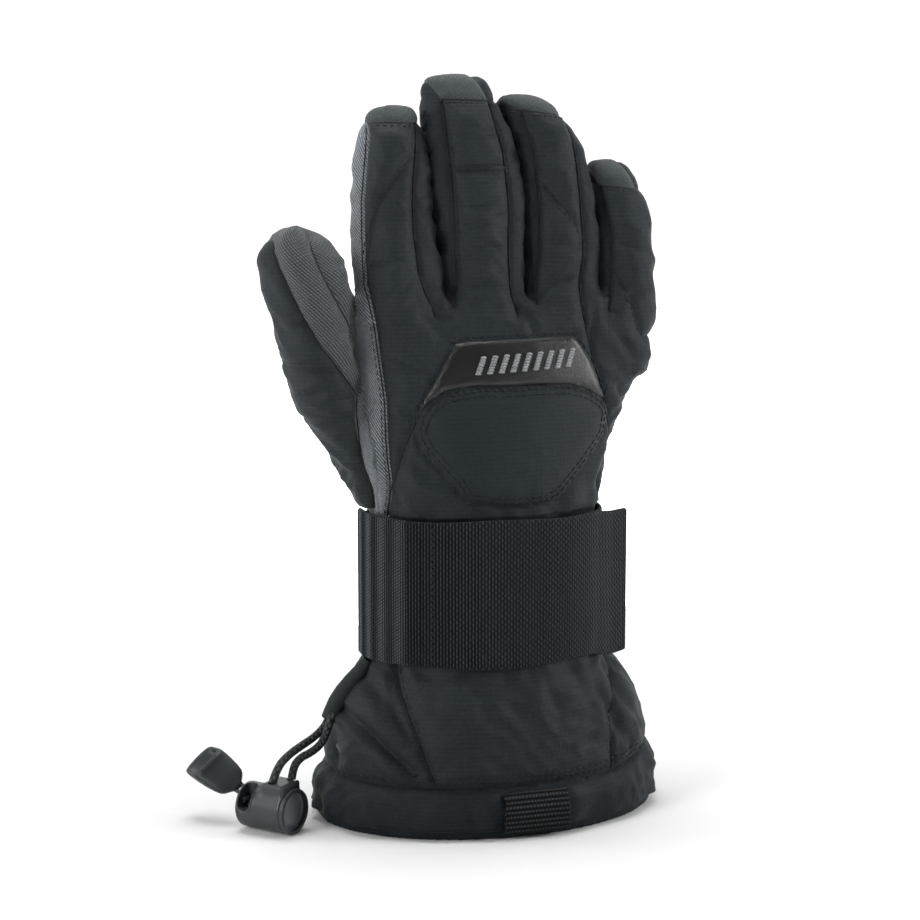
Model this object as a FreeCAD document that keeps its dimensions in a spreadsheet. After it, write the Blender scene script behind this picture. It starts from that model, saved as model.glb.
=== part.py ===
import FreeCAD, Part
import math
import os
import Sketcher
from FreeCAD import Vector, Placement, Rotation

# Insulated snow glove for the right hand with a wrist guard built into it.
# The glove stands on its cuff: +Z runs up through the fingers, the back of the
# hand faces -Y and the thumb is on the -X side.  Millimetres throughout.

os.makedirs("parts", exist_ok=True)
doc = FreeCAD.newDocument("snow_glove")
sheet = doc.addObject("Spreadsheet::Sheet", "dims")
values = {}


def dim(alias, value):
    """one driving dimension: a plain number in its own named cell"""
    if alias in values:
        return alias
    row = len(values) + 1
    sheet.set("A%d" % row, alias)
    sheet.set("B%d" % row, repr(float(value)))
    sheet.setAlias("B%d" % row, alias)
    values[alias] = float(value)
    return alias


def num(alias):
    return float(sheet.get(alias))


def bind(obj, prop, value, short=None):
    """bind a property to an expression, or to a new cell that holds the number"""
    if not isinstance(value, str):
        value = "dims." + dim("%s_%s" % (obj.Name.lower(), short or prop.split(".")[-1].lower()), value)
    obj.setExpression(prop, value)


# ------------------------------------------------------------------ dimensions
dim("shell_wall", 1.0)         # woven outer shell
dim("padding", 3.4)            # synthetic fill
dim("lining_wall", 0.9)        # brushed inner lining
dim("splint_thick", 2.2)
dim("wrist_split_z", 88.0)     # where the hand is sewn to the gauntlet
dim("hem_height", 19.6)
dim("finger_base_z", 186.0)
dim("little_base_z", 178.0)
dim("finger_base_y", 1.5)
dim("finger_lean", 7.4)        # the fingers lean this much towards the palm
dim("flex_half_angle", 29.5)   # half of the gap that lets a finger close
dim("joint_gap", 0.3)
dim("strap_width", 53.6)
dim("strap_bottom_z", 61.0)
dim("strap_thick", 1.8)
dim("cord_dia", 3.0)
dim("thumb_base_z", 160.0)
dim("finger_pad", 2.6)
dim("little_pad", 2.1)

# z, centre x, centre y, half width, half depth
HAND = [
    (0.0, 2.3, 0.0, 65.0, 45.0), (11.0, 2.6, 0.0, 65.4, 44.8), (22.0, 2.8, 0.0, 64.0, 43.8),
    (34.0, 3.0, 0.0, 60.4, 41.6), (46.0, 3.0, 0.0, 55.6, 38.6), (53.0, 2.4, 0.0, 50.6, 35.8),
    (58.5, 1.6, 0.0, 45.6, 33.4), (64.0, 1.0, 0.0, 42.8, 32.0), (72.0, 1.0, 0.0, 42.4, 31.8),
    (88.0, 1.0, 0.0, 42.4, 31.8), (106.0, 1.0, 0.0, 42.4, 31.4), (115.0, 0.6, 0.0, 43.2, 31.2),
    (123.7, -0.2, 0.0, 45.6, 30.4), (138.6, 0.9, 0.0, 48.0, 28.2), (153.5, 3.8, 0.3, 51.0, 26.0),
    (168.0, 6.3, 0.8, 53.2, 23.4), (181.0, 7.3, 1.2, 55.0, 20.8), (187.0, 7.5, 1.5, 55.4, 19.6)]
INDEX = [
    (186.3, -31.2, 1.5, 14.1, 13.6), (198.5, -32.0, 2.9, 14.8, 14.0), (209.0, -33.1, 4.3, 14.4, 13.6),
    (222.0, -34.2, 6.0, 13.2, 12.8), (231.0, -33.7, 7.1, 13.0, 12.5), (240.0, -33.0, 8.3, 12.6, 12.1),
    (250.5, -32.0, 9.6, 11.0, 10.6), (257.3, -31.1, 10.6, 8.2, 7.9), (260.6, -30.8, 11.1, 3.6, 3.4)]
MIDDLE = [
    (186.3, 0.0, 1.5, 13.1, 12.9), (197.0, -0.1, 2.8, 13.7, 13.4), (210.0, 0.0, 4.5, 14.2, 13.7),
    (223.0, -0.4, 6.1, 15.2, 13.9), (234.0, -0.8, 7.6, 15.9, 13.7), (245.0, -2.4, 9.0, 16.0, 13.3),
    (256.0, -4.6, 10.4, 15.2, 12.4), (263.5, -6.0, 11.4, 13.2, 10.6), (269.3, -6.9, 12.2, 9.4, 7.6),
    (272.0, -7.4, 12.6, 4.4, 3.6)]
RING = [
    (186.3, 30.2, 1.5, 12.5, 12.3), (200.5, 31.0, 3.3, 12.2, 12.1), (211.6, 31.4, 4.7, 12.4, 12.2),
    (226.0, 31.3, 6.5, 12.5, 12.2), (237.0, 30.2, 7.9, 12.1, 11.7), (247.6, 28.0, 9.3, 11.7, 11.1),
    (256.4, 23.8, 10.4, 10.4, 9.6), (262.4, 20.4, 11.2, 7.6, 7.0), (264.8, 19.0, 11.5, 3.6, 3.3)]
LITTLE = [
    (178.3, 56.3, 1.5, 9.6, 11.6), (187.0, 56.5, 2.5, 9.9, 11.8), (196.0, 56.9, 3.6, 10.0, 11.9),
    (205.0, 57.4, 4.8, 9.9, 11.7), (217.0, 57.1, 6.4, 9.6, 11.3), (227.7, 55.7, 7.7, 9.2, 10.8),
    (234.6, 53.9, 8.6, 8.0, 9.4), (238.6, 52.6, 9.1, 5.6, 6.9), (240.6, 52.0, 9.3, 2.8, 3.6)]
THUMB = [
    (160.3, -59.2, 3.0, 10.3, 15.4), (172.0, -61.6, 2.8, 12.2, 15.7), (186.0, -63.6, 2.4, 14.0, 15.7),
    (198.0, -65.8, 2.0, 15.0, 15.3), (206.0, -68.0, 1.6, 13.9, 14.2), (212.0, -70.0, 1.3, 10.9, 11.4),
    (216.0, -71.0, 1.1, 6.6, 7.2), (217.8, -71.2, 1.0, 2.6, 3.0)]
GUSSET = [
    (117.0, -41.0, 2.0, 4.6, 11.0), (131.0, -46.6, 2.6, 7.8, 14.2), (145.0, -53.2, 3.0, 9.2, 15.2),
    (160.0, -59.1, 3.0, 10.2, 15.4)]
TABLES = {"glove": HAND, "index": INDEX, "middle": MIDDLE, "ring": RING,
          "little": LITTLE, "thumb": THUMB, "gusset": GUSSET}
for stem, rows in TABLES.items():
    for i, row in enumerate(rows, 1):
        for key, value in zip(("z", "x", "y", "a", "b"), row):
            dim("%s_%s_%d" % (stem, key, i), value)


def loft(name, stem, inset="0", scaled=False):
    """smooth closed form through the elliptical sections of one table;
    inset (an expression) shrinks it, evenly or in proportion to its first section"""
    rows = TABLES[stem]
    deep = all(r[4] >= r[3] for r in rows)
    n = len(rows)
    sections = []
    for i in range(1, n + 1):
        e = doc.addObject("Part::Ellipse", "%s_section_%d" % (name, i))
        a, b = "dims.%s_a_%d" % (stem, i), "dims.%s_b_%d" % (stem, i)
        z = "dims.%s_z_%d" % (stem, i)
        if scaled:
            ratio = "(1 - (%s) / dims.%s_a_1)" % (inset, stem)
            a, b = "%s * %s" % (a, ratio), "%s * %s" % (b, ratio)
            z = "dims.%s_z_1 + (%s - dims.%s_z_1) * (1 - (%s) / (dims.%s_z_%d - dims.%s_z_1))" % (
                stem, z, stem, inset, stem, n, stem)
        elif inset != "0":
            a, b = "%s - (%s)" % (a, inset), "%s - (%s)" % (b, inset)
        if deep:
            a, b = b, a
            e.Placement = Placement(Vector(0, 0, 0), Rotation(Vector(0, 0, 1), 90))
        e.setExpression("MajorRadius", a)
        e.setExpression("MinorRadius", b)
        e.setExpression("Placement.Base.x", "dims.%s_x_%d" % (stem, i))
        e.setExpression("Placement.Base.y", "dims.%s_y_%d" % (stem, i))
        e.setExpression("Placement.Base.z", z)
        sections.append(e)
    o = doc.addObject("Part::Loft", name)
    o.Sections = sections
    o.Solid, o.Ruled, o.Closed = True, False, False
    return o


def box(name, x, y, z, lx, ly, lz, turn=None):
    """turn = (axis, angle in degrees) about the box's own first corner"""
    o = doc.addObject("Part::Box", name)
    if turn:
        o.Placement = Placement(Vector(0, 0, 0), Rotation(Vector(*turn[0]), turn[1]))
    for prop, value, short in (("Length", lx, "len_x"), ("Width", ly, "len_y"), ("Height", lz, "len_z"),
                               ("Placement.Base.x", x, "at_x"), ("Placement.Base.y", y, "at_y"),
                               ("Placement.Base.z", z, "at_z")):
        bind(o, prop, value, short)
    return o


def slab(name, pivot, lean, y0, y1, x0=-90.0, x1=90.0, z0=-40.0, z1=120.0):
    """box that leans with a finger: y0..y1 measured from the finger's middle plane"""
    o = doc.addObject("Part::Box", name)
    r = Rotation(Vector(1, 0, 0), -lean)
    o.Length, o.Width, o.Height = x1 - x0, y1 - y0, z1 - z0
    bind(o, "Width", y1 - y0, "depth")
    o.Placement = Placement(Vector(*pivot), r).multiply(Placement(Vector(x0, y0, z0), Rotation()))
    return o


def tilted(name, pivot, axis, angle, start, size):
    """box turned about a pivot; start and size are measured in the turned axes"""
    o = doc.addObject("Part::Box", name)
    for prop, value, short in zip(("Length", "Width", "Height"), size, ("along_x", "along_y", "along_z")):
        bind(o, prop, float(value), short)
    o.Placement = Placement(Vector(*pivot), Rotation(Vector(*axis), angle)).multiply(
        Placement(Vector(*start), Rotation()))
    return o


def cyl(name, radius, height, base, axis, short="radius"):
    o = doc.addObject("Part::Cylinder", name)
    bind(o, "Radius", radius, "radius")
    bind(o, "Height", height, "height")
    o.Placement = Placement(Vector(*base), Rotation(Vector(0, 0, 1), Vector(*axis)))
    return o


def cut(name, base, *tools):
    tool = tools[0] if len(tools) == 1 else fuse(name + "_tools", *tools)
    o = doc.addObject("Part::Cut", name)
    o.Base, o.Tool = base, tool
    return o


def common(name, base, tool):
    o = doc.addObject("Part::Common", name)
    o.Base, o.Tool = base, tool
    return o


def fuse(name, *shapes):
    o = doc.addObject("Part::MultiFuse", name)
    o.Shapes = list(shapes)
    return o


def plate(name, points, y0, y1):
    """upright plate: an outline in the XZ plane, drawn as a sketch and extruded from y0 to y1"""
    s = doc.addObject("Sketcher::SketchObject", name + "_outline")
    s.Placement = Placement(Vector(0, y1, 0), Rotation(Vector(1, 0, 0), 90))
    m = len(points)
    for i, (x, z) in enumerate(points):
        q = points[(i + 1) % m]
        s.addGeometry(Part.LineSegment(Vector(x, z, 0), Vector(q[0], q[1], 0)), False)
    for i in range(m):
        s.addConstraint(Sketcher.Constraint("Coincident", i, 2, (i + 1) % m, 1))
    for i, (x, z) in enumerate(points):
        for kind, v, word in (("DistanceX", x, "across"), ("DistanceY", z, "up")):
            k = s.addConstraint(Sketcher.Constraint(kind, -1, 1, i, 1, v))
            s.renameConstraint(k, "%s_%d" % (word, i))
            s.setExpression("Constraints.%s_%d" % (word, i), "dims." + dim("%s_%s_%d" % (name, word, i), v))
    o = doc.addObject("Part::Extrusion", name)
    o.Base, o.DirMode, o.Dir, o.Solid = s, "Custom", Vector(0, -1, 0), True
    bind(o, "LengthFwd", y1 - y0, "depth")
    return o


nodes = {}


def node(name, obj):
    obj.Label = name
    nodes[name] = obj
    return obj


# ------------------------------------------------------------ hem loop of webbing
dim("loop_width", 24.4)
dim("loop_top_z", 21.8)
dim("loop_bottom_z", 5.0)
loop = doc.addObject("PartDesign::Body", "hem_loop_body")
plane = [o for o in loop.Origin.OriginFeatures if o.Role == "YZ_Plane"][0]
s1 = loop.newObject("Sketcher::SketchObject", "hem_loop_profile")
s1.AttachmentSupport = [(plane, "")]
s1.MapMode = "FlatFace"
y_out, y_in = -48.9, -45.7
for (ya, yc, zt, zb) in ((y_out, y_in, 21.8, 5.0), (y_out + 1.1, y_in - 1.1, 20.6, 6.4)):
    first = s1.GeometryCount
    pts = [(ya, zt), (yc, zt), (yc, zb), (ya, zb)]
    for i in range(4):
        p, q = pts[i], pts[(i + 1) % 4]
        s1.addGeometry(Part.LineSegment(Vector(p[0], p[1], 0), Vector(q[0], q[1], 0)), False)
    for i in range(4):
        s1.addConstraint(Sketcher.Constraint("Coincident", first + i, 2, first + (i + 1) % 4, 1))
    for i, (y, z) in enumerate(pts):
        for kind, v, word in (("DistanceX", y, "y"), ("DistanceY", z, "z")):
            label = "loop_%s_%d" % (word, first + i)
            c = s1.addConstraint(Sketcher.Constraint(kind, -1, 1, first + i, 1, v))
            s1.renameConstraint(c, label)
            s1.setExpression("Constraints." + label, "dims." + dim(label, v))
doc.recompute()
pad = loop.newObject("PartDesign::Pad", "hem_loop_pad")
pad.Profile = s1
pad.setExpression("Length", "dims.loop_width")
pad.Midplane = True
loop.Placement = Placement(Vector(3.6, 0, 0), Rotation())
node("hem_loop", loop)
doc.recompute()
edges = ["Edge%d" % (i + 1) for i, e in enumerate(pad.Shape.Edges)
         if len(e.Vertexes) == 2 and abs(e.Vertexes[0].Z - e.Vertexes[1].Z) < 1e-6
         and abs(e.Vertexes[0].Z - 5.0) < 1e-6 and abs(e.Vertexes[0].X - e.Vertexes[1].X) > 5]
f = loop.newObject("PartDesign::Fillet", "hem_loop_round")
f.Base = (pad, edges)
dim("loop_round", 1.1)
f.setExpression("Radius", "dims.loop_round")

# ------------------------------------------------------------- cord and cord lock

def ring_at(z, inset, radius, name):
    """cord that runs round the gauntlet between shell and lining"""
    rows = HAND
    for lo, hi in zip(rows, rows[1:]):
        if lo[0] <= z <= hi[0]:
            u = (z - lo[0]) / (hi[0] - lo[0])
            x, y, a, b = (lo[j] + (hi[j] - lo[j]) * u for j in range(1, 5))
    e = Part.Ellipse(Vector(x, y, z), a - inset, b - inset)
    spine = Part.Wire([e.toShape()])
    start = Vector(x + a - inset, y, z)
    profile = Part.Wire([Part.Circle(start, Vector(0, 1, 0), radius).toShape()])
    o = doc.addObject("Part::Feature", name)
    o.Shape = spine.makePipeShell([profile], True, False)
    return node(name, o)


ring_at(38.0, 2.75, 1.2, "cinch_cord")


def tube(name, points, radius, fraction=0.45):
    """round cord: straight runs joined by tangent arcs"""
    pts = [Vector(*p) for p in points]
    edges, here, radii = [], pts[0], []
    for i in range(1, len(pts) - 1):
        p, q, r = pts[i - 1], pts[i], pts[i + 1]
        u, v = (q - p), (r - q)
        short = min(u.Length, v.Length)
        u.normalize(), v.normalize()
        angle = u.getAngle(v)
        cutback = fraction * short
        radii.append(round(cutback / math.tan(angle / 2), 1))
        a, b = q - u * cutback, q + v * cutback
        bis = (v - u)
        bis.normalize()
        rad = cutback / math.tan(angle / 2)
        middle = q + bis * (rad / math.cos(angle / 2) - rad)
        edges.append(Part.makeLine(here, a))
        edges.append(Part.Arc(a, middle, b).toShape())
        here = b
    edges.append(Part.makeLine(here, pts[-1]))
    path = Part.Wire(edges)
    direction = pts[1] - pts[0]
    profile = Part.Wire([Part.Circle(pts[0], direction, radius).toShape()])
    solid = path.makePipeShell([profile], True, False, 2)
    o = doc.addObject("Part::Feature", name)
    o.Shape = solid
    want = math.pi * radius ** 2 * path.Length
    print(name, "length", round(path.Length, 1), "volume ratio", round(solid.Volume / want, 4), "radii", radii)
    return node(name, o)


cord_r = values["cord_dia"] / 2
# cord lock: its own axes, x along the barrel towards the button, z up, origin at the blind end
lock_dir = Vector(0.6523, -0.7580, 0)
lock_dir.normalize()
lock_len = 23.0
button_face = Vector(-74.7, -18.9, 8.4)
lock_place = Placement(button_face - lock_dir * 26.0, Rotation(Vector(1, 0, 0), lock_dir))
print("lock origin", lock_place.Base, "across", lock_place.Rotation.multVec(Vector(0, 1, 0)))
dim("lock_radius", 8.3)
dim("lock_length", 21.6)
dim("lock_bore", 6.5)
dim("lock_bore_depth", 13.2)
dim("button_travel", 3.0)

lb_outer = cyl("lock_outer", "dims.lock_radius", "dims.lock_length", (0, 0, 0), (1, 0, 0))
lb_bore = cyl("lock_bore_room", "dims.lock_bore", "dims.lock_bore_depth + 0.4", (8.4, 0, 0), (1, 0, 0))
slot_a = box("lock_slot_middle", 1.8, -3.2, -3.0, 5.4, 6.4, 14.0)
slot_mouth = box("lock_slot_mouth", -1.0, -3.2, -3.0, 4.0, 6.4, 14.0)
slot_side = box("lock_slot_side", 2.2, -9.0, -4.2, 4.6, 18.0, 5.2)
ear = box("lock_ear", 12.6, -6.6, 6.6, 9.0, 13.2, 4.0)
cord_a = cyl("lock_cord_hole_front", 1.7, 22.0, (15.4, -3.2, -2.0), (0, 0, 1))
cord_b = cyl("lock_cord_hole_back", 1.7, 22.0, (18.8, 4.0, -2.0), (0, 0, 1))
body_l = cut("lock_barrel_solid", fuse("lock_barrel_form", lb_outer, ear), lb_bore, slot_a, slot_mouth, slot_side,
             cord_a, cord_b)
body_l.Placement = lock_place
node("lock_barrel", body_l)
bar = cyl("slot_bar_solid", 1.1, 10.6, (3.4, -5.3, 2.6), (0, 1, 0))
bar.Placement = lock_place.multiply(bar.Placement)
node("slot_bar", bar)
lip = doc.addObject("PartDesign::Body", "lock_end_ring_body")
lip_plane = [o for o in lip.Origin.OriginFeatures if o.Role == "XY_Plane"][0]
s2 = lip.newObject("Sketcher::SketchObject", "end_ring_profile")
s2.AttachmentSupport = [(lip_plane, "")]
s2.MapMode = "FlatFace"
for r, word in ((8.3, "outer"), (6.9, "inner")):
    g = s2.addGeometry(Part.Circle(Vector(0, 0, 0), Vector(0, 0, 1), r), False)
    s2.addConstraint(Sketcher.Constraint("Coincident", g, 3, -1, 1))
    c = s2.addConstraint(Sketcher.Constraint("Radius", g, r))
    s2.renameConstraint(c, "ring_" + word)
    s2.setExpression("Constraints.ring_" + word, "dims." + dim("end_ring_" + word, r))
doc.recompute()
ring_pad = lip.newObject("PartDesign::Pad", "end_ring_pad")
ring_pad.Profile = s2
bind(ring_pad, "Length", 1.4, "length")
lip.Placement = lock_place.multiply(Placement(Vector(21.6, 0, 0), Rotation(Vector(0, 0, 1), Vector(1, 0, 0))))
node("lock_end_ring", lip)

button = doc.addObject("PartDesign::Body", "lock_button_body")
xy = [o for o in button.Origin.OriginFeatures if o.Role == "XY_Plane"][0]
s3 = button.newObject("Sketcher::SketchObject", "button_half_section")
s3.AttachmentSupport = [(xy, "")]
s3.MapMode = "FlatFace"
prof = [(11.6, 0.0), (26.0, 0.0), (26.0, 5.4), (25.2, 6.35), (11.6, 6.35)]
for i in range(len(prof)):
    p, q = prof[i], prof[(i + 1) % len(prof)]
    s3.addGeometry(Part.LineSegment(Vector(p[0], p[1], 0), Vector(q[0], q[1], 0)), False)
for i in range(len(prof)):
    s3.addConstraint(Sketcher.Constraint("Coincident", i, 2, (i + 1) % len(prof), 1))
for i, (x, y) in enumerate(prof):
    for kind, v, word in (("DistanceX", x, "x"), ("DistanceY", y, "y")):
        label = "button_%s_%d" % (word, i)
        c = s3.addConstraint(Sketcher.Constraint(kind, -1, 1, i, 1, v))
        s3.renameConstraint(c, label)
        s3.setExpression("Constraints." + label, "dims." + dim(label, v))
doc.recompute()
rev = button.newObject("PartDesign::Revolution", "button_turned")
rev.Profile = s3
rev.ReferenceAxis = (s3, ["H_Axis"])
rev.Angle = 360.0
doc.recompute()
full = rev.Shape.Volume
s4 = button.newObject("Sketcher::SketchObject", "button_cord_slots")
s4.AttachmentSupport = [(xy, "")]
s4.MapMode = "FlatFace"
for x0, x1, y, r in ((13.7, 20.2, -3.2, 1.7), (17.1, 22.9, 4.0, 1.7)):
    n0 = s4.GeometryCount
    s4.addGeometry(Part.LineSegment(Vector(x0, y - r, 0), Vector(x1, y - r, 0)), False)
    s4.addGeometry(Part.LineSegment(Vector(x1, y - r, 0), Vector(x1, y + r, 0)), False)
    s4.addGeometry(Part.LineSegment(Vector(x1, y + r, 0), Vector(x0, y + r, 0)), False)
    s4.addGeometry(Part.LineSegment(Vector(x0, y + r, 0), Vector(x0, y - r, 0)), False)
    for i in range(4):
        s4.addConstraint(Sketcher.Constraint("Coincident", n0 + i, 2, n0 + (i + 1) % 4, 1))
    for i, (x, yy) in enumerate([(x0, y - r), (x1, y - r), (x1, y + r), (x0, y + r)]):
        for kind, v, word in (("DistanceX", x, "x"), ("DistanceY", yy, "y")):
            label = "cord_slot_%s_%d" % (word, n0 + i)
            c = s4.addConstraint(Sketcher.Constraint(kind, -1, 1, n0 + i, 1, v))
            s4.renameConstraint(c, label)
            s4.setExpression("Constraints." + label, "dims." + dim(label, v))
doc.recompute()
pk = button.newObject("PartDesign::Pocket", "button_cord_pocket")
pk.Profile = s4
pk.Type = "ThroughAll"
pk.Midplane = True
doc.recompute()
print("button pocket took", round(full - pk.Shape.Volume, 1), "mm3")
button.Placement = lock_place
node("lock_button", button)

# return spring behind the button, inside the barrel: short straight runs, mitred, ten to a turn
coil_points = [Vector(4.0 * math.cos(0.2 * math.pi * i), 4.0 * math.sin(0.2 * math.pi * i), 0.06 * i) for i in range(41)]
coil_profile = Part.Wire([Part.Circle(coil_points[0], coil_points[1] - coil_points[0], 0.24).toShape()])
spring_solid = Part.makePolygon(coil_points).makePipeShell([coil_profile], True, False, 1)
spring = doc.addObject("Part::Feature", "lock_spring_solid")
spring.Shape = spring_solid
spring.Placement = lock_place.multiply(Placement(Vector(8.8, 0, 0), Rotation(Vector(0, 0, 1), Vector(1, 0, 0))))
node("lock_spring", spring)

# pull tab: hangs on the slot bar, lies back along the barrel's axis and is rolled about its length
rise = math.radians(25.0)
away = lock_dir * -1.0
long_dir = Vector(away.x * math.cos(rise), away.y * math.cos(rise), math.sin(rise))
across = lock_place.Rotation.multVec(Vector(0, 1, 0))
side = across * -1.0
up2 = Vector(lock_dir.x * math.sin(rise), lock_dir.y * math.sin(rise), math.cos(rise))
roll = math.radians(40.0)
width_dir = across * math.cos(roll) + up2 * math.sin(roll)
normal_dir = long_dir.cross(width_dir)
bar_at = lock_place.multVec(Vector(3.4, 0, 2.6))
m = FreeCAD.Matrix(long_dir.x, width_dir.x, normal_dir.x, bar_at.x,
                   long_dir.y, width_dir.y, normal_dir.y, bar_at.y,
                   long_dir.z, width_dir.z, normal_dir.z, bar_at.z, 0, 0, 0, 1)
tab_place = Placement(m)
outline = [(6.6, -1.6), (9.6, -4.4), (13.0, -6.6), (21.0, -7.3), (25.6, -6.8), (25.6, 6.8), (21.0, 7.3), (13.0, 6.6),
           (9.6, 4.4), (6.6, 1.6)]
side_view = [(6.0, -1.1), (12.0, -1.5), (25.6, -2.9), (26.2, 0.0), (25.6, 2.9), (12.0, 1.5), (6.0, 1.1)]


def prism(points, map_point, direction):
    w = Part.makePolygon([map_point(p) for p in points] + [map_point(points[0])])
    return Part.Face(w).extrude(direction)


blade = prism(outline, lambda p: Vector(p[0], p[1], -6), Vector(0, 0, 12)).common(
    prism(side_view, lambda p: Vector(p[0], -10, p[1]), Vector(0, 20, 0)))
bar_axis = tab_place.inverse().Rotation.multVec(across)
eye = Part.makeTorus(2.15, 0.75, Vector(0, 0, 0), bar_axis)
prong_a = Part.makeCylinder(0.8, 5.2, Vector(2.2, 0.55, 0), Vector(1, 0.1, 0))
prong_b = Part.makeCylinder(0.8, 5.2, Vector(2.2, -0.55, 0), Vector(1, -0.1, 0))
tab_solid = blade.fuse([eye, prong_a, prong_b]).removeSplitter()
tab = doc.addObject("Part::Feature", "pull_tab_solid")
tab.Shape = tab_solid
tab.Placement = tab_place
node("pull_tab", tab)
print("tab z range", tab.Shape.BoundBox.ZMin, tab.Shape.BoundBox.ZMax, "tip", tab_place.multVec(Vector(25.6, 0, 0)),
      "bar", bar_at)

# sewn guide where both ends of the cord leave the gauntlet
guide_dir = Vector(-0.48, -0.26, -0.84)
guide_dir.normalize()
guide_at = Vector(-56.6, 2.4, 40.6)
gx = cyl("cord_guide_outer", 4.6, 6.0, guide_at, guide_dir)
gh = cyl("cord_guide_room", 3.7, 10.0, guide_at - guide_dir * 2, guide_dir)
node("cord_guide", cut("cord_guide_solid", gx, gh, ))

STRAND_LONG = [(-56.4, 4.2, 40.4), (-59.8, 2.2, 34.4), (-65.4, -2.2, 31.6), (-71.4, -6.4, 30.0), (-77.2, -10.0, 28.0),
               (-82.0, -12.4, 24.6), (-84.04, -12.95, 19.1)]
STRAND_SHORT = [(-57.6, 0.2, 40.4), (-60.2, -1.6, 34.0), (-63.2, -4.4, 29.6), (-67.8, -7.2, 27.4), (-72.8, -9.6, 26.4),
                (-75.8, -10.7, 23.4), (-76.37, -10.83, 19.1)]
tube("drawcord_long", STRAND_LONG, cord_r)
tube("drawcord_short", STRAND_SHORT, cord_r)
for p in ((15.4, -3.2, 10.6), (18.8, 4.0, 10.6)):
    print("cord hole at", lock_place.multVec(Vector(*p)))

# ------------------------------------------------------------- hand and gauntlet
outer = loft("glove_outer", "glove")
layer1 = loft("glove_layer1", "glove", "dims.shell_wall")
layer2 = loft("glove_layer2", "glove", "dims.shell_wall + dims.padding")
layer3 = loft("glove_layer3", "glove", "dims.shell_wall + dims.padding + dims.lining_wall")
splint_in = loft("splint_inner", "glove", "dims.shell_wall + 0.4 + dims.splint_thick")
splint_out = loft("splint_outer", "glove", "dims.shell_wall + 0.4")
patch_out = loft("patch_outer", "glove", "-1.0")
pad_out = loft("pad_outer", "glove", "-2.6")

# top of the hand: level behind each finger, sloping away on the palm side so that the fingers can close
half = values["flex_half_angle"]
ridge_x = 44.9
top_a = box("top_above_fingers", -90.0, -60.0, "dims.finger_base_z", 90.0 + ridge_x, 120.0, 40.0)
top_b = box("top_above_little", ridge_x, -60.0, "dims.little_base_z", 60.0, 120.0, 50.0)
top_c = box("flex_room_fingers", -90.0, "dims.finger_base_y", "dims.finger_base_z", 90.0 + ridge_x, 60.0, 60.0,
            ((1, 0, 0), -half))
top_d = box("flex_room_little", ridge_x, "dims.finger_base_y", "dims.little_base_z", 60.0, 60.0, 60.0,
            ((1, 0, 0), -half))
top_cut = fuse("hand_top_cut", top_a, top_b, top_c, top_d)

gusset_outer = loft("gusset_outer", "gusset")
gusset_inner = loft("gusset_inner", "gusset", "dims.shell_wall + 1.4")

upper = box("upper_region", -90.0, -60.0, "dims.wrist_split_z", 180.0, 120.0, 130.0)
gauntlet_zone = box("gauntlet_region", -90.0, -60.0, "dims.hem_height", 180.0, 120.0,
                    "dims.wrist_split_z - dims.hem_height")
hem_zone = box("hem_region", -90.0, -60.0, 0.0, 180.0, 120.0, "dims.hem_height")

shell = cut("glove_shell", outer, layer1)
hand_shell = cut("hand_shell", common("hand_shell_part", shell, upper), top_cut, gusset_inner)
front = box("dorsal_region", -90.0, -60.0, -5.0, 180.0, 54.0, 220.0)
rear = box("palmar_region", -90.0, 6.0, -5.0, 180.0, 54.0, 220.0)
edge_l = box("thumb_edge_region", -90.0, -6.0, -5.0, 92.0, 12.0, 220.0)
edge_r = box("outer_edge_region", 2.0, -6.0, -5.0, 90.0, 12.0, 220.0)
node("back_panel", common("back_panel_solid", hand_shell, front))
node("palm_panel", common("palm_panel_solid", hand_shell, rear))
node("index_side_strip", common("index_side_strip_solid", hand_shell, edge_l))
node("outer_side_panel", common("outer_side_panel_solid", hand_shell, edge_r))

# wrist guard splints, one on each side of the wrist, held between shell and lining
splint_sheet = cut("splint_sheet", splint_out, splint_in)
dorsal_room = box("dorsal_splint_room", -15.0, -60.0, 64.0, 36.0, 50.0, 88.0)
palmar_room = box("palmar_splint_room", -14.0, 10.0, 64.0, 32.0, 50.0, 74.0)
dorsal_splint = node("dorsal_splint", common("dorsal_splint_solid", splint_sheet, dorsal_room))
palmar_splint = node("palmar_splint", common("palmar_splint_solid", splint_sheet, palmar_room))

fill_zone = box("fill_region", -90.0, -60.0, 56.0, 180.0, 120.0, 150.0)
fill = common("fill_part", cut("fill_shell", layer1, layer2), fill_zone)
node("hand_insulation", cut("hand_insulation_solid", fill, top_cut, gusset_inner, dorsal_room, palmar_room))
lining_all = cut("lining_shell", layer2, layer3)
node("hand_lining", cut("hand_lining_solid", common("hand_lining_part", lining_all, upper), top_cut, gusset_inner))

gauntlet_shell = common("gauntlet_shell", shell, gauntlet_zone)
mid_l = box("gauntlet_left_seam", -90.0, -60.0, 0.0, 64.0, 120.0, 130.0)
mid_c = box("gauntlet_centre", -26.0, -60.0, 0.0, 62.0, 120.0, 130.0)
mid_r = box("gauntlet_right_seam", 36.0, -60.0, 0.0, 60.0, 120.0, 130.0)
node("gauntlet_back", common("gauntlet_back_solid", common("gauntlet_front_half", gauntlet_shell, mid_c),
                             box("gauntlet_front_box", -90.0, -60.0, 0.0, 180.0, 60.0, 130.0)))
node("gauntlet_palm", common("gauntlet_palm_solid", common("gauntlet_rear_half", gauntlet_shell, mid_c),
                             box("gauntlet_rear_box", -90.0, 0.0, 0.0, 180.0, 60.0, 130.0)))
node("gauntlet_thumb_side", common("gauntlet_thumb_side_solid", gauntlet_shell, mid_l))
node("gauntlet_outer_side", common("gauntlet_outer_side_solid", gauntlet_shell, mid_r))
node("gauntlet_lining", common("gauntlet_lining_solid", lining_all, gauntlet_zone))
node("hem_binding", common("hem_binding_solid", cut("hem_wall", outer, layer3), hem_zone))

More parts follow.
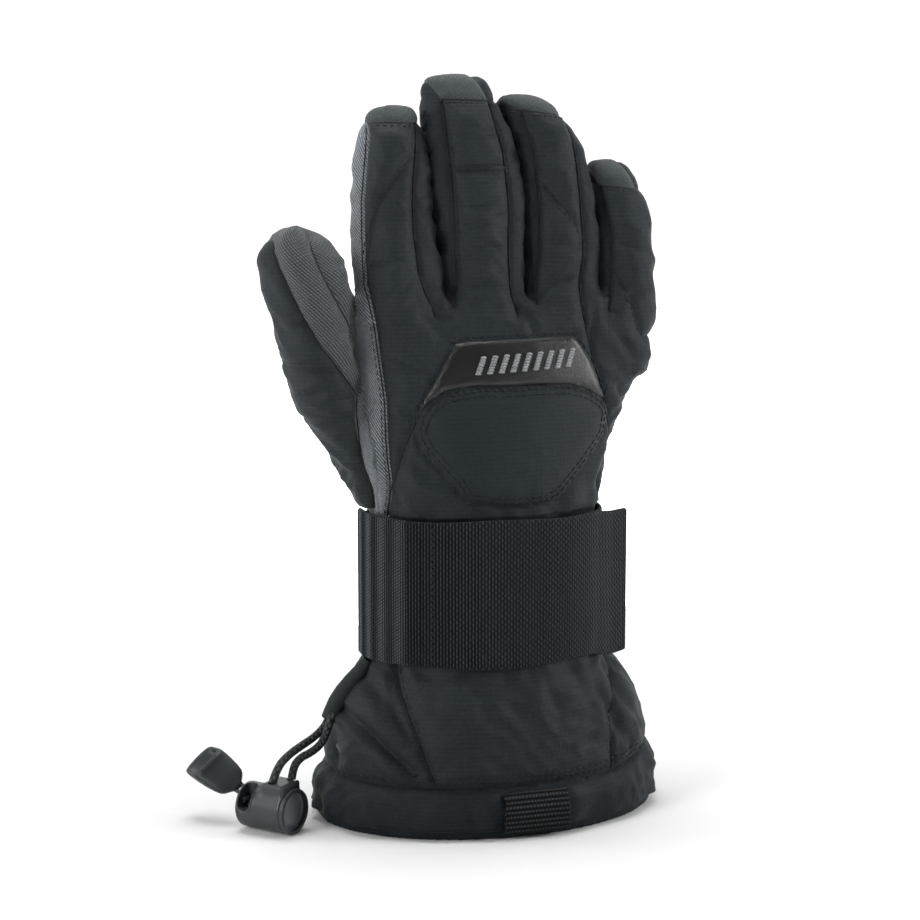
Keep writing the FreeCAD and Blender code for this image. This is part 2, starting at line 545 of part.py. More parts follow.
thumb_pivot = (-52.0, 3.0, values["thumb_base_z"])
node("thumb_gusset", cut("thumb_gusset_solid", gusset_outer, gusset_inner, outer,
                         tilted("thumb_swing_room", thumb_pivot, (0, 1, 0), -16.0, (-60, -60, 0), (60, 120, 60))))

# sewn-on pieces on the back of the hand
PATCH = [(-16.4, 176.8), (-8.0, 177.6), (6.0, 177.6), (20.0, 177.0), (30.9, 175.6), (35.5, 166.0), (40.2, 155.6),
         (36.0, 158.2), (26.0, 162.0), (6.0, 163.2), (-10.0, 162.2), (-21.0, 158.6), (-31.6, 152.0), (-24.0, 165.0)]
PAD = [(-32.8, 148.4), (-32.0, 142.6), (-26.0, 137.0), (-18.0, 129.0), (-12.0, 122.6), (-7.0, 120.0), (4.0, 119.2),
       (14.0, 119.4), (22.0, 122.4), (30.0, 132.0), (38.6, 141.0), (41.2, 147.0), (39.6, 154.4), (35.6, 157.4),
       (25.8, 161.4), (6.0, 162.6), (-9.8, 161.6), (-20.7, 158.0), (-30.6, 151.4)]
over_patch = cut("patch_sheet", patch_out, outer)
over_pad = cut("pad_sheet", pad_out, outer)
node("knuckle_patch", common("knuckle_patch_solid", over_patch, plate("patch_plate", PATCH, -60.0, -6.0)))
node("wrist_pad", common("wrist_pad_solid", over_pad, plate("pad_plate", PAD, -60.0, -6.0)))

# ------------------------------------------------------------------------ fingers
lean = values["finger_lean"]
for name, rows in (("index", INDEX), ("middle", MIDDLE), ("ring", RING), ("little", LITTLE)):
    base_z = "little_base_z" if name == "little" else "finger_base_z"
    pivot = (0.0, values["finger_base_y"], values[base_z])
    body = loft(name + "_outer", name, scaled=False)
    inner = loft(name + "_inner", name, "dims.shell_wall", scaled=True)
    cavity = loft(name + "_cavity", name, "dims.shell_wall + dims." + ("little_pad" if name == "little" else "finger_pad"),
                  scaled=True)
    room = box(name + "_flex_room", -90.0, "dims.finger_base_y", "dims." + base_z, 180.0, 60.0, 60.0,
               ((1, 0, 0), half - 90.0))
    wall = cut(name + "_wall", body, inner, room)
    top = rows[-1][0] - pivot[2]
    cap_z = top - 10.5
    cap = slab(name + "_cap_region", pivot, lean, -60.0, 60.0, z0=cap_z, z1=cap_z + 40)
    tube = cut(name + "_tube", wall, cap)
    node(name + "_tip_cap", common(name + "_tip_cap_solid", wall, cap))
    node(name + "_back", common(name + "_back_solid", tube, slab(name + "_front_region", pivot, lean, -60.0, -4.5)))
    node(name + "_side_panels", common(name + "_side_solid", tube, slab(name + "_middle_region", pivot, lean, -4.5, 4.5)))
    node(name + "_palm", common(name + "_palm_solid", tube, slab(name + "_rear_region", pivot, lean, 4.5, 60.0)))
    node(name + "_lining", cut(name + "_lining_solid", cut(name + "_lining_wall", inner, cavity), room))

# thumb: a dark back panel outside, a textured palm panel towards the fingers
t_outer = loft("thumb_outer", "thumb")
t_inner = loft("thumb_inner", "thumb", "dims.shell_wall", scaled=True)
t_cavity = loft("thumb_cavity", "thumb", "dims.shell_wall + 2.6", scaled=True)
t_slope = tilted("thumb_slope_room", thumb_pivot, (0, 1, 0), 16.0, (-60, -60, -60), (60, 120, 60))
t_wall = cut("thumb_wall", t_outer, t_inner, t_slope)
t_left = tilted("thumb_back_region", (-60.5, 0.0, 160.0), (0, 1, 0), -10.0, (-60, -60, -40), (60, 120, 140))
node("thumb_back", common("thumb_back_solid", t_wall, t_left))
node("thumb_palm", cut("thumb_palm_solid", t_wall, t_left))
node("thumb_lining", cut("thumb_lining_solid", cut("thumb_lining_wall", t_inner, t_cavity), t_slope))

# ------------------------------------------------------------------- wrist strap


def arc_points(cx, cy, a, b, start, end, count):
    return [(cx + a * math.cos(math.radians(start + (end - start) * i / (count - 1))),
             cy + b * math.sin(math.radians(start + (end - start) * i / (count - 1)))) for i in range(count)]


def ribbon(name, path, thick, z_low, z_high):
    """upright band of even thickness along a plan-view path"""
    out, back = [], []
    for i, (x, y) in enumerate(path):
        p, q = path[max(0, i - 1)], path[min(len(path) - 1, i + 1)]
        dx, dy = q[0] - p[0], q[1] - p[1]
        k = thick / 2.0 / math.hypot(dx, dy)
        out.append(Vector(x + dy * k, y - dx * k, z_low))
        back.append(Vector(x - dy * k, y + dx * k, z_low))
    one, two = Part.BSplineCurve(), Part.BSplineCurve()
    one.interpolate(out)
    two.interpolate(back)
    wire = Part.Wire([one.toShape(), Part.makeLine(out[-1], back[-1]), two.toShape(), Part.makeLine(back[0], out[0])])
    o = doc.addObject("Part::Feature", name)
    o.Shape = Part.Face(wire).extrude(Vector(0, 0, z_high - z_low))
    return node(name, o)


dim("wrist_x", 1.0)
dim("wrist_half_width", 42.4)
dim("wrist_half_depth", 31.8)
dim("band_thick", 1.3)
dim("strap_tip_length", 19.0)
wx, wa, wb = values["wrist_x"], values["wrist_half_width"], values["wrist_half_depth"]
z0 = values["strap_bottom_z"]
z1 = z0 + values["strap_width"]
t = values["strap_thick"]
band = 1.85                                    # middle of the fixed band outside the glove
ribbon("strap_base_band", arc_points(wx, 0, wa + band, wb + band, -34.0, 176.0, 40), 1.3, z0 + 4.5, z1 - 1.5)
ribbon("strap_loop_patch", arc_points(wx, 0, wa + band, wb + band, -98.0, -35.5, 20), 1.3, z0 + 4.5, z1 - 1.5)
hook = band + 0.65 + 0.3 + 0.45
ribbon("strap_hook_patch", arc_points(wx, 0, wa + hook, wb + hook, -92.0, -40.0, 18), 0.9, z0 + 4.5, z1 - 4.5)
mid = hook + 0.45 + t / 2
path = arc_points(wx, 0, wa + mid, wb + mid, -187.0, -40.0, 48)
dx, dy = path[-1][0] - path[-2][0], path[-1][1] - path[-2][1]
k = 1.0 / math.hypot(dx, dy)
dx, dy = dx * k, dy * k
tip = values["strap_tip_length"]
turn = math.radians(1.2)
px, py, head = path[-1][0], path[-1][1], math.atan2(dy, dx)
for i in range(10):
    head += turn
    px, py = px + math.cos(head) * tip / 10, py + math.sin(head) * tip / 10
    path.append((px, py))
ribbon("wrist_strap", path, t, z0, z1)
fold = [(x - math.sin(head) * (t / 2 + 0.7), y + math.cos(head) * (t / 2 + 0.7)) for x, y in path[-4:]]
ribbon("strap_folded_end", fold, 1.4, z0 + 0.2, z1 - 0.2)
print("strap tip", [round(v, 2) for v in path[-1]], "sewn edge", [round(v, 2) for v in path[0]])

# ------------------------------------------------------------------- write it out
# origin: on the standing surface, below the middle of the glove itself
dim("origin_x", 6.9465)
dim("origin_y", 1.954)
doc.recompute()
shift = Placement(Vector(num("origin_x"), num("origin_y"), 0), Rotation())
for obj in nodes.values():
    obj.Placement = shift.multiply(obj.Placement)
doc.recompute()
bad = [(o.Name, o.State) for o in doc.Objects if any(w in o.State for w in ("Invalid", "Error"))]
if bad:
    raise RuntimeError("features that failed: %s" % bad)
for name, obj in nodes.items():
    shape = obj.Shape
    if shape.isNull() or not shape.isValid() or not shape.Solids:
        raise RuntimeError("%s has no valid solid" % name)
everything = Part.makeCompound([o.Shape for o in nodes.values()])
box_all = everything.BoundBox
print("size", round(box_all.XLength, 1), round(box_all.YLength, 1), round(box_all.ZLength, 1),
      "x", round(box_all.XMin, 2), round(box_all.XMax, 2), "y", round(box_all.YMin, 2), round(box_all.YMax, 2),
      "z", round(box_all.ZMin, 2), round(box_all.ZMax, 2), "nodes", len(nodes))
for name, obj in nodes.items():
    obj.Shape.exportStep("parts/%s.step" % name)
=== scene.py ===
import math

import bpy
import numpy as np
from mathutils import Vector, Matrix, kdtree
from mathutils.bvhtree import BVHTree


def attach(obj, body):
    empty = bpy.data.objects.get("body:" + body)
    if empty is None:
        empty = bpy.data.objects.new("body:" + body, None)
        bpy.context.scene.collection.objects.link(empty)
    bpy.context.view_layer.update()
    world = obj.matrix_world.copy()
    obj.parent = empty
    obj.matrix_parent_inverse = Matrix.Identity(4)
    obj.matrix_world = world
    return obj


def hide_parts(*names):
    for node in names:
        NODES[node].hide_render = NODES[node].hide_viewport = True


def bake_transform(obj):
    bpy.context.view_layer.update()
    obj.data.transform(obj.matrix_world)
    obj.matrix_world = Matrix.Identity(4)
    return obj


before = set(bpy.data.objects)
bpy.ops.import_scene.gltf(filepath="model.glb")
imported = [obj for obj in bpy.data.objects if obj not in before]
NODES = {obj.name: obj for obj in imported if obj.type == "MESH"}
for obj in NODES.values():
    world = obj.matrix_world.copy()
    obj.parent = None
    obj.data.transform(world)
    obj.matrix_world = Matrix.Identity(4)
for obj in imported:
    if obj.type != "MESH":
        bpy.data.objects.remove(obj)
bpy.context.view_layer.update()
MM = 0.001
OX, OY = 6.9465, 1.954  # where the glove's own middle stands in the row frame, mm
scene = bpy.context.scene
coll = scene.collection

# ---------------------------------------------------------------- camera, light, floor
T = Vector((-0.0015535, 0.001954, 0.1316))
az, el, dist = math.radians(-18), math.radians(9), 0.85
cam_d = bpy.data.cameras.new("camera")
cam = bpy.data.objects.new("camera", cam_d)
coll.objects.link(cam)
cam_d.lens, cam_d.sensor_width, cam_d.sensor_height = 90, 36, 36
back = Vector((math.sin(az) * math.cos(el), -math.cos(az) * math.cos(el), math.sin(el)))
cam.location = T + back * dist
cam.rotation_euler = (-back).to_track_quat("-Z", "Y").to_euler()
cam_d.clip_start, cam_d.clip_end = 0.02, 60
cam_d.dof.use_dof = False
scene.camera = cam

world = bpy.data.worlds.new("world")
scene.world = world
world.use_nodes = True
wb = world.node_tree.nodes["Background"]
wb.inputs["Color"].default_value = (1, 1, 1, 1)
wb.inputs["Strength"].default_value = 0.07
scene.view_settings.view_transform = "Standard"
scene.view_settings.look = "None"


def area(name, where, at, size, power, color=(1, 1, 1), size_y=None):
    d = bpy.data.lights.new(name, "AREA")
    d.energy, d.size, d.color = power, size, color
    if size_y:
        d.shape, d.size_y = "RECTANGLE", size_y
    o = bpy.data.objects.new(name, d)
    coll.objects.link(o)
    o.visible_camera = False
    o.location = where
    o.rotation_euler = (Vector(where) - Vector(at)).to_track_quat("Z", "Y").to_euler()
    return o


area("key_left", (-1.10, -0.50, 0.62), (-0.01, 0, 0.15), 0.42, 12.0, (1, 1, 1), 0.7)
area("top_soft", (0.0, 0.12, 1.0), (0, 0, 0.12), 0.5, 7.0)
area("right_side", (1.05, -0.42, 0.55), (0.02, 0, 0.15), 0.3, 12.0, (1, 1, 1), 0.6)
area("front_low", (0.30, -1.15, 0.45), (0.02, 0, 0.15), 0.2, 0.7, (1, 1, 1), 0.4)
area("left_rim", (-0.9, 0.35, 0.35), (-0.03, 0, 0.15), 0.3, 3.0, (1, 1, 1), 0.8)
sun_d = bpy.data.lights.new("sun", "SUN")
sun_d.energy, sun_d.angle = 1.2, math.radians(50)
sun = bpy.data.objects.new("sun", sun_d)
coll.objects.link(sun)
sun.rotation_euler = Vector((0.25, 0.3, 1.0)).to_track_quat("Z", "Y").to_euler()


# ---------------------------------------------------------------- materials
def material(name, color, rough=0.8, spec=0.5, metallic=0.0, coat=0.0, coat_rough=0.2, sheen=0.0, sheen_rough=0.5):
    m = bpy.data.materials.new(name)
    m.use_nodes = True
    b = m.node_tree.nodes["Principled BSDF"]
    b.inputs["Base Color"].default_value = (*color, 1)
    b.inputs["Roughness"].default_value = rough
    b.inputs["Specular IOR Level"].default_value = spec
    b.inputs["Metallic"].default_value = metallic
    b.inputs["Coat Weight"].default_value = coat
    b.inputs["Coat Roughness"].default_value = coat_rough
    b.inputs["Sheen Weight"].default_value = sheen
    b.inputs["Sheen Roughness"].default_value = sheen_rough
    return m


def nd(m, kind, **props):
    n = m.node_tree.nodes.new(kind)
    for k, v in props.items():
        if k in n.inputs:
            n.inputs[k].default_value = v
        else:
            setattr(n, k, v)
    return n


def lk(m, a, b):
    m.node_tree.links.new(a, b)


def maths(m, op, a, b=None, c=None):
    n = m.node_tree.nodes.new("ShaderNodeMath")
    n.operation = op
    for i, v in enumerate((a, b, c)):
        if v is None:
            continue
        if isinstance(v, (int, float)):
            n.inputs[i].default_value = v
        else:
            lk(m, v, n.inputs[i])
    return n.outputs[0]


def uv_xy(m):
    t = nd(m, "ShaderNodeTexCoord")
    s = nd(m, "ShaderNodeSeparateXYZ")
    lk(m, t.outputs["UV"], s.inputs[0])
    return t, s.outputs[0], s.outputs[1]


def height_bump(m, h, strength, distance):
    b = nd(m, "ShaderNodeBump")
    b.inputs["Strength"].default_value = strength
    b.inputs["Distance"].default_value = distance
    lk(m, h, b.inputs["Height"])
    lk(m, b.outputs[0], m.node_tree.nodes["Principled BSDF"].inputs["Normal"])
    return b


def color_from(m, fac, dark, light):
    r = nd(m, "ShaderNodeValToRGB")
    r.color_ramp.elements[0].color = (*dark, 1)
    r.color_ramp.elements[1].color = (*light, 1)
    lk(m, fac, r.inputs[0])
    lk(m, r.outputs[0], m.node_tree.nodes["Principled BSDF"].inputs["Base Color"])
    return r


def wave(m, x, pitch):
    """0..1 sine across x, in metres"""
    return maths(m, "MULTIPLY_ADD", maths(m, "SINE", maths(m, "MULTIPLY", x, 2 * math.pi / pitch)), 0.5, 0.5)


def noise(m, t, scale, detail=2.0, space="Object"):
    n = nd(m, "ShaderNodeTexNoise")
    n.inputs["Scale"].default_value = scale
    n.inputs["Detail"].default_value = detail
    lk(m, t.outputs[space], n.inputs["Vector"])
    return n.outputs[0]


# fine ripstop shell: crossed threads with a heavier line every 2.2 mm along the cloth
def shell_cloth(name, dark, light, rough=0.62):
    m = material(name, light, rough, 0.14, sheen=0.03, sheen_rough=0.4)
    t, u, v = uv_xy(m)
    thread_and_seam_shade = maths(m, "ADD", wave(m, u, 0.00075), wave(m, v, 0.00060))
    rip_v = maths(m, "POWER", wave(m, v, 0.0016), 6.0)
    rip_u = maths(m, "POWER", wave(m, u, 0.0046), 14.0)
    n = noise(m, t, 900.0)
    h = maths(m, "ADD", maths(m, "MULTIPLY", thread_and_seam_shade, 0.35), maths(m, "ADD", maths(m, "MULTIPLY", rip_v, 0.5), maths(m, "MULTIPLY", rip_u, 0.25)))
    h = maths(m, "ADD", h, maths(m, "MULTIPLY", n, 0.9))
    height_bump(m, h, 0.55, 0.00016)
    big = noise(m, t, 38.0, 3.0)
    f = maths(m, "ADD", maths(m, "MULTIPLY", rip_v, 0.24), maths(m, "MULTIPLY", n, 0.95))
    f = maths(m, "ADD", f, maths(m, "MULTIPLY", big, 0.35))
    color_from(m, f, dark, light)
    return m


def twill_cloth(name, dark, light, scale=1.0):
    m = material(name, light, 0.7, 0.3, sheen=0.08)
    t, u, v = uv_xy(m)
    d = wave(m, maths(m, "ADD", u, maths(m, "MULTIPLY", v, 0.8)), 0.00105 * scale)
    across = wave(m, maths(m, "SUBTRACT", v, maths(m, "MULTIPLY", u, 0.3)), 0.0008 * scale)
    n = noise(m, t, 1100.0)
    h = maths(m, "ADD", maths(m, "MULTIPLY", d, maths(m, "MULTIPLY_ADD", across, 0.5, 0.6)), maths(m, "MULTIPLY", n, 0.5))
    height_bump(m, h, 0.75, 0.00022)
    color_from(m, maths(m, "MULTIPLY", maths(m, "POWER", h, 1.5), 0.55), dark, light)
    return m


def embossed_cloth(name, dark, light):
    m = material(name, light, 0.55, 0.5)
    t = nd(m, "ShaderNodeTexCoord")
    vor = nd(m, "ShaderNodeTexVoronoi")
    vor.feature = "DISTANCE_TO_EDGE"
    vor.inputs["Scale"].default_value = 900.0
    lk(m, t.outputs["Object"], vor.inputs["Vector"])
    h = maths(m, "MINIMUM", maths(m, "MULTIPLY", vor.outputs[0], 4.0), 1.0)
    height_bump(m, h, 0.7, 0.00018)
    color_from(m, h, dark, light)
    return m


def leather(name, dark, light):
    m = material(name, light, 0.36, 0.34, coat=0.12, coat_rough=0.26)
    t = nd(m, "ShaderNodeTexCoord")
    vor = nd(m, "ShaderNodeTexVoronoi")
    vor.feature = "DISTANCE_TO_EDGE"
    vor.inputs["Scale"].default_value = 1150.0
    lk(m, t.outputs["Object"], vor.inputs["Vector"])
    n = noise(m, t, 240.0, 3.0)
    big = noise(m, t, 60.0, 2.0)
    h = maths(m, "ADD", maths(m, "MINIMUM", maths(m, "MULTIPLY", vor.outputs[0], 5.0), 1.0), maths(m, "ADD", maths(m, "MULTIPLY", n, 0.9), maths(m, "MULTIPLY", big, 3.0)))
    height_bump(m, h, 0.3, 0.00022)
    color_from(m, maths(m, "MULTIPLY", n, 1.0), dark, light)
    return m


def web(name, dark, light, pitch=0.0011, cross=0.0016):
    """webbing: threads run along v, lines across at every weft"""
    m = material(name, light, 0.66, 0.09, sheen=0.02)
    t, u, v = uv_xy(m)
    rib = wave(m, u, pitch)
    # over and under of the weft: the phase turns over from one rib to the next
    turn = maths(m, "MULTIPLY", maths(m, "FLOOR", maths(m, "DIVIDE", u, pitch)), cross * 0.5)
    weft = wave(m, maths(m, "ADD", v, turn), cross)
    n = noise(m, t, 1500.0)
    h = maths(m, "ADD", maths(m, "MULTIPLY", rib, maths(m, "MULTIPLY_ADD", weft, 0.45, 0.6)), maths(m, "MULTIPLY", n, 0.4))
    height_bump(m, h, 1.0, 0.00034)
    color_from(m, maths(m, "MULTIPLY", maths(m, "POWER", h, 2.6), 0.55), dark, light)
    return m


def braid(name, dark, light):
    """a curve's own coordinates run from 0 to 1 along it and round it"""
    m = material(name, light, 0.55, 0.3)
    t, u, v = uv_xy(m)
    a = maths(m, "MULTIPLY", u, 15.0)
    b = maths(m, "MULTIPLY", v, 4.0)
    p = maths(m, "ABSOLUTE", maths(m, "SINE", maths(m, "MULTIPLY", maths(m, "ADD", a, b), math.pi)))
    q = maths(m, "ABSOLUTE", maths(m, "SINE", maths(m, "MULTIPLY", maths(m, "SUBTRACT", a, b), math.pi)))
    h = maths(m, "MULTIPLY", p, q)
    height_bump(m, h, 1.0, 0.0005)
    color_from(m, maths(m, "POWER", h, 0.8), dark, light)
    return m


def plastic(name, color, rough, spec=0.5, grain=2600.0, amount=0.12):
    m = material(name, color, rough, spec)
    t = nd(m, "ShaderNodeTexCoord")
    n = noise(m, t, grain, 2.0)
    height_bump(m, n, amount, 0.0001)
    return m


def pile(name, dark, light):
    m = material(name, light, 0.95, 0.2, sheen=0.5, sheen_rough=0.6)
    t = nd(m, "ShaderNodeTexCoord")
    n = noise(m, t, 1600.0, 4.0)
    height_bump(m, n, 0.9, 0.0006)
    color_from(m, n, dark, light)
    return m


MAT = {
    "shell": shell_cloth("shell_fabric", (0.0022, 0.0031, 0.0035), (0.0130, 0.0180, 0.0198)),
    "side": shell_cloth("side_fabric", (0.0014, 0.0024, 0.0030), (0.0100, 0.0140, 0.0165)),
    "palm": twill_cloth("palm_fabric", (0.0026, 0.0034, 0.0038), (0.088, 0.102, 0.108), 1.25),
    "strip": twill_cloth("strip_fabric", (0.018, 0.022, 0.025), (0.270, 0.300, 0.325)),
    "cap": twill_cloth("cap_fabric", (0.0050, 0.0085, 0.0085), (0.046, 0.062, 0.062)),
    "leather": leather("patch_leather", (0.0015, 0.0016, 0.0018), (0.006, 0.0062, 0.0066)),
    "pad": shell_cloth("pad_fabric", (0.0016, 0.0028, 0.0031), (0.0105, 0.0160, 0.0175), 0.6),
    # the strap's left end: its own twill weave, coloured lighter as painted light where the left lamp falls
    "web_left_lit": web("webbing_twill_painted_light", (0.0018, 0.0023, 0.0026), (0.088, 0.100, 0.110), 0.0010, 0.0012),
    # near-black, for the lock's window boxes: painted shade of the openings
    "black": material("painted_opening_shade", (0.001, 0.001, 0.001), 0.9, 0.1),
    "embroidery": material("embroidery_thread", (0.16, 0.165, 0.17), 0.45, 0.5, sheen=0.2),
    "fleece": pile("fleece", (0.010, 0.010, 0.011), (0.030, 0.031, 0.033)),
    "web": web("webbing", (0.0003, 0.0005, 0.0006), (0.042, 0.050, 0.054), 0.00115, 0.0021),
    "web_end": web("webbing_end", (0.002, 0.0024, 0.0026), (0.034, 0.038, 0.041), 0.00115, 0.0021),
    "loopweb": web("loop_webbing", (0.0006, 0.0008, 0.0009), (0.034, 0.039, 0.042), 0.0017, 0.0013),
    "touch": pile("touch_fastener", (0.006, 0.006, 0.0065), (0.018, 0.019, 0.020)),
    # thread for the stitches; the same near-black material makes the tubes in the seams, painted shade of the seam
    # crevices
    "thread_and_seam_shade": material("thread_and_seam_shade", (0.0028, 0.003, 0.0033), 0.5, 0.25),
    "thread_grey": material("thread_grey", (0.022, 0.024, 0.026), 0.55, 0.4),
    "cord": braid("cord_braid", (0.0015, 0.002, 0.002), (0.034, 0.040, 0.040)),
    "guide": plastic("guide_trim", (0.012, 0.0145, 0.0145), 0.75, 0.2),
    "lock": plastic("lock_plastic", (0.020, 0.0225, 0.0245), 0.36, 0.45, 3800.0, 0.25),
    "button": plastic("button_plastic", (0.100, 0.112, 0.122), 0.34, 0.45, 3800.0, 0.2),
    "tab": plastic("tab_plastic", (0.0085, 0.0125, 0.0125), 0.45, 0.35, 2600.0, 0.2),
    "steel": material("spring_steel", (0.5, 0.5, 0.5), 0.3, 0.5, 1.0),
}

# ---------------------------------------------------------------- floor
def plane(name, pts, strength, base):
    m = material(name, (base, base, base), 0.95, 0.0)
    b = m.node_tree.nodes["Principled BSDF"]
    b.inputs["Emission Color"].default_value = (1, 1, 1, 1)
    b.inputs["Emission Strength"].default_value = strength
    me = bpy.data.meshes.new(name)
    me.from_pydata(pts, [], [(0, 1, 2, 3)])
    o = bpy.data.objects.new(name, me)
    coll.objects.link(o)
    me.materials.append(m)
    return o


FLOOR_E, FLOOR_B = 0.01, 0.61
plane("floor", [(-9, -9, -0.0002), (9, -9, -0.0002), (9, 3, -0.0002), (-9, 3, -0.0002)], 0.85, 0.8)
plane("floor_near", [(-0.32, -0.3, -0.0001), (0.3, -0.3, -0.0001), (0.3, 0.3, -0.0001), (-0.32, 0.3, -0.0001)], FLOOR_E, FLOOR_B)
plane("backdrop", [(-9, 3, 0), (9, 3, 0), (9, 3, 9), (-9, 3, 9)], 1.02, 0.1)
for w_name, w_pts in (("wall_left", [(-9, -9, 0), (-9, 3, 0), (-9, 3, 9), (-9, -9, 9)]), ("wall_right", [(9, -9, 0), (9, 3, 0), (9, 3, 9), (9, -9, 9)]),
                      ("wall_front", [(-9, -9, 0), (9, -9, 0), (9, -9, 9), (-9, -9, 9)])):
    wall = plane(w_name, w_pts, 1.02, 0.1)
    wall.visible_diffuse = wall.visible_glossy = wall.visible_shadow = False

# ---------------------------------------------------------------- the free cords
STRAND_LONG = [(-56.4, 4.2, 40.4), (-59.8, 2.2, 34.4), (-65.4, -2.2, 31.6), (-71.4, -6.4, 30.0), (-77.2, -10.0, 28.0), (-82.0, -12.4, 24.6), (-84.04, -12.95, 19.1)]
STRAND_SHORT = [(-57.6, 0.2, 40.4), (-60.2, -1.6, 34.0), (-63.2, -4.4, 29.6), (-67.8, -7.2, 27.4), (-72.8, -9.6, 26.4), (-75.8, -10.7, 23.4), (-76.37, -10.83, 19.1)]
CORD_R = 1.5


def cord_curve(name, pts, r):
    c = bpy.data.curves.new(name, "CURVE")
    c.dimensions = "3D"
    s = c.splines.new("NURBS")
    s.points.add(len(pts) - 1)
    for p, q in zip(s.points, pts):
        p.co = ((q[0] + OX) * MM, (q[1] + OY) * MM, q[2] * MM, 1)
    s.order_u = 3
    s.use_endpoint_u = True
    s.resolution_u = 12
    c.bevel_depth = r * MM
    c.bevel_resolution = 6
    c.use_fill_caps = True
    c.materials.append(MAT["cord"])
    o = bpy.data.objects.new(name, c)
    coll.objects.link(o)
    return o


cord_a = cord_curve("drawcord_strand_long", STRAND_LONG, CORD_R)
cord_b = cord_curve("drawcord_strand_short", STRAND_SHORT, CORD_R)

# ---------------------------------------------------------------- section tables (z, x, y, half width, half depth), mm
HAND = [(0, 1.4, 0, 64.2, 45.0), (11, 1.5, 0, 64.4, 44.8), (22, 1.6, 0, 62.9, 43.8), (34, 1.8, 0, 59.2, 41.6), (46, 2.2, 0, 54.0, 38.6), (53, 2.0, 0, 48.8, 35.8), (58.5, 1.5, 0, 44.6, 33.2), (64, 1.0, 0, 42.8, 32.0), (72, 1.0, 0, 42.2, 31.6), (88, 1.0, 0, 42.0, 31.4), (106, 1.0, 0, 42.2, 31.2), (115, 0.6, 0, 43.2, 31.0), (123.7, -0.2, 0, 45.6, 30.4), (138.6, 0.9, 0, 48.0, 28.0), (153.5, 3.8, 0.3, 51.0, 25.4), (165, 6.0, 0.8, 53.0, 22.4), (175, 6.9, 1.4, 54.4, 19.4), (183, 7.3, 2.0, 55.0, 16.6), (190, 7.5, 2.8, 54.6, 13.4)]
INDEX = [(186.3, -31.2, 1.5, 14.1, 13.6), (198.5, -32.0, 2.9, 14.8, 14.0), (209, -33.1, 4.3, 14.4, 13.6), (222, -34.2, 6.0, 13.2, 12.8), (231, -33.7, 7.1, 13.0, 12.5), (240, -33.0, 8.3, 12.6, 12.1), (250.5, -32.0, 9.6, 11.2, 10.8), (256.4, -31.4, 10.5, 9.6, 8.3), (259.0, -31.0, 10.9, 8.2, 6.4), (260.4, -30.8, 11.1, 6.2, 4.4), (261.0, -30.8, 11.1, 3.2, 2.4)]
MIDDLE = [(186.3, 0, 1.5, 13.1, 12.9), (197, -0.1, 2.8, 13.7, 13.4), (210, 0, 4.5, 14.2, 13.7), (223, -0.4, 6.1, 15.2, 13.9), (234, -0.8, 7.6, 15.9, 13.7), (245, -2.4, 9.0, 16.0, 13.3), (256, -4.6, 10.4, 15.2, 12.4), (263.0, -5.9, 11.3, 14.0, 10.9), (267.0, -6.5, 11.9, 12.9, 9.2), (269.8, -6.9, 12.2, 11.6, 7.4), (271.4, -7.2, 12.5, 8.9, 5.2), (272.2, -7.4, 12.6, 4.4, 2.8)]
RING = [(186.3, 30.2, 1.5, 12.5, 12.3), (200.5, 31.0, 3.3, 12.2, 12.1), (211.6, 31.4, 4.7, 12.4, 12.2), (226, 31.3, 6.5, 12.5, 12.2), (237, 30.2, 7.9, 12.1, 11.7), (247.6, 27.8, 9.3, 11.9, 11.1), (256.4, 22.9, 10.4, 11.4, 9.8), (260.5, 20.3, 10.9, 10.6, 8.4), (263.0, 18.4, 11.3, 8.8, 6.4), (264.4, 17.3, 11.5, 6.2, 4.2), (265.0, 17.0, 11.5, 3.2, 2.4)]
LITTLE = [(178.3, 56.3, 1.5, 9.6, 11.6), (187, 56.5, 2.5, 9.9, 11.8), (196, 56.9, 3.6, 10.0, 11.9), (205, 57.4, 4.8, 9.9, 11.7), (217, 57.1, 6.4, 9.6, 11.3), (227.7, 55.7, 7.7, 9.2, 10.8), (234.6, 53.6, 8.6, 8.6, 9.4), (237.6, 52.4, 9.0, 8.0, 7.6), (239.6, 51.4, 9.2, 6.6, 5.4), (240.6, 51.0, 9.3, 4.8, 3.8), (241.0, 50.9, 9.3, 2.6, 2.2)]
THUMB = [(160.3, -59.2, 3.0, 10.3, 15.4), (172, -61.6, 2.8, 12.2, 15.7), (186, -63.6, 2.4, 14.0, 15.7), (198, -65.8, 2.0, 15.0, 15.3), (206, -68.0, 1.6, 13.9, 14.2), (212, -70.0, 1.3, 10.9, 11.4), (216, -71.0, 1.1, 6.8, 7.2), (217.8, -71.2, 1.0, 2.6, 3.0)]
GUSSET = [(117, -41.0, 2.0, 4.6, 11.0), (131, -46.6, 2.6, 7.8, 14.2), (145, -53.2, 3.0, 9.2, 15.2), (160, -59.1, 3.0, 10.2, 15.4), (166, -60.4, 3.0, 10.6, 15.2)]


def pchip(x, y, q):
    h = np.diff(x)
    d = np.diff(y) / h
    m = np.zeros_like(y)
    m[0], m[-1] = d[0], d[-1]
    for i in range(1, len(x) - 1):
        if d[i - 1] * d[i] > 0:
            w1, w2 = 2 * h[i] + h[i - 1], h[i] + 2 * h[i - 1]
            m[i] = (w1 + w2) / (w1 / d[i - 1] + w2 / d[i])
    i = np.clip(np.searchsorted(x, q) - 1, 0, len(x) - 2)
    t = np.clip((q - x[i]) / h[i], 0, 1)
    return (y[i] * (1 + 2 * t) * (1 - t) ** 2 + h[i] * m[i] * t * (1 - t) ** 2 + y[i + 1] * t * t * (3 - 2 * t) + h[i] * m[i + 1] * t * t * (t - 1))


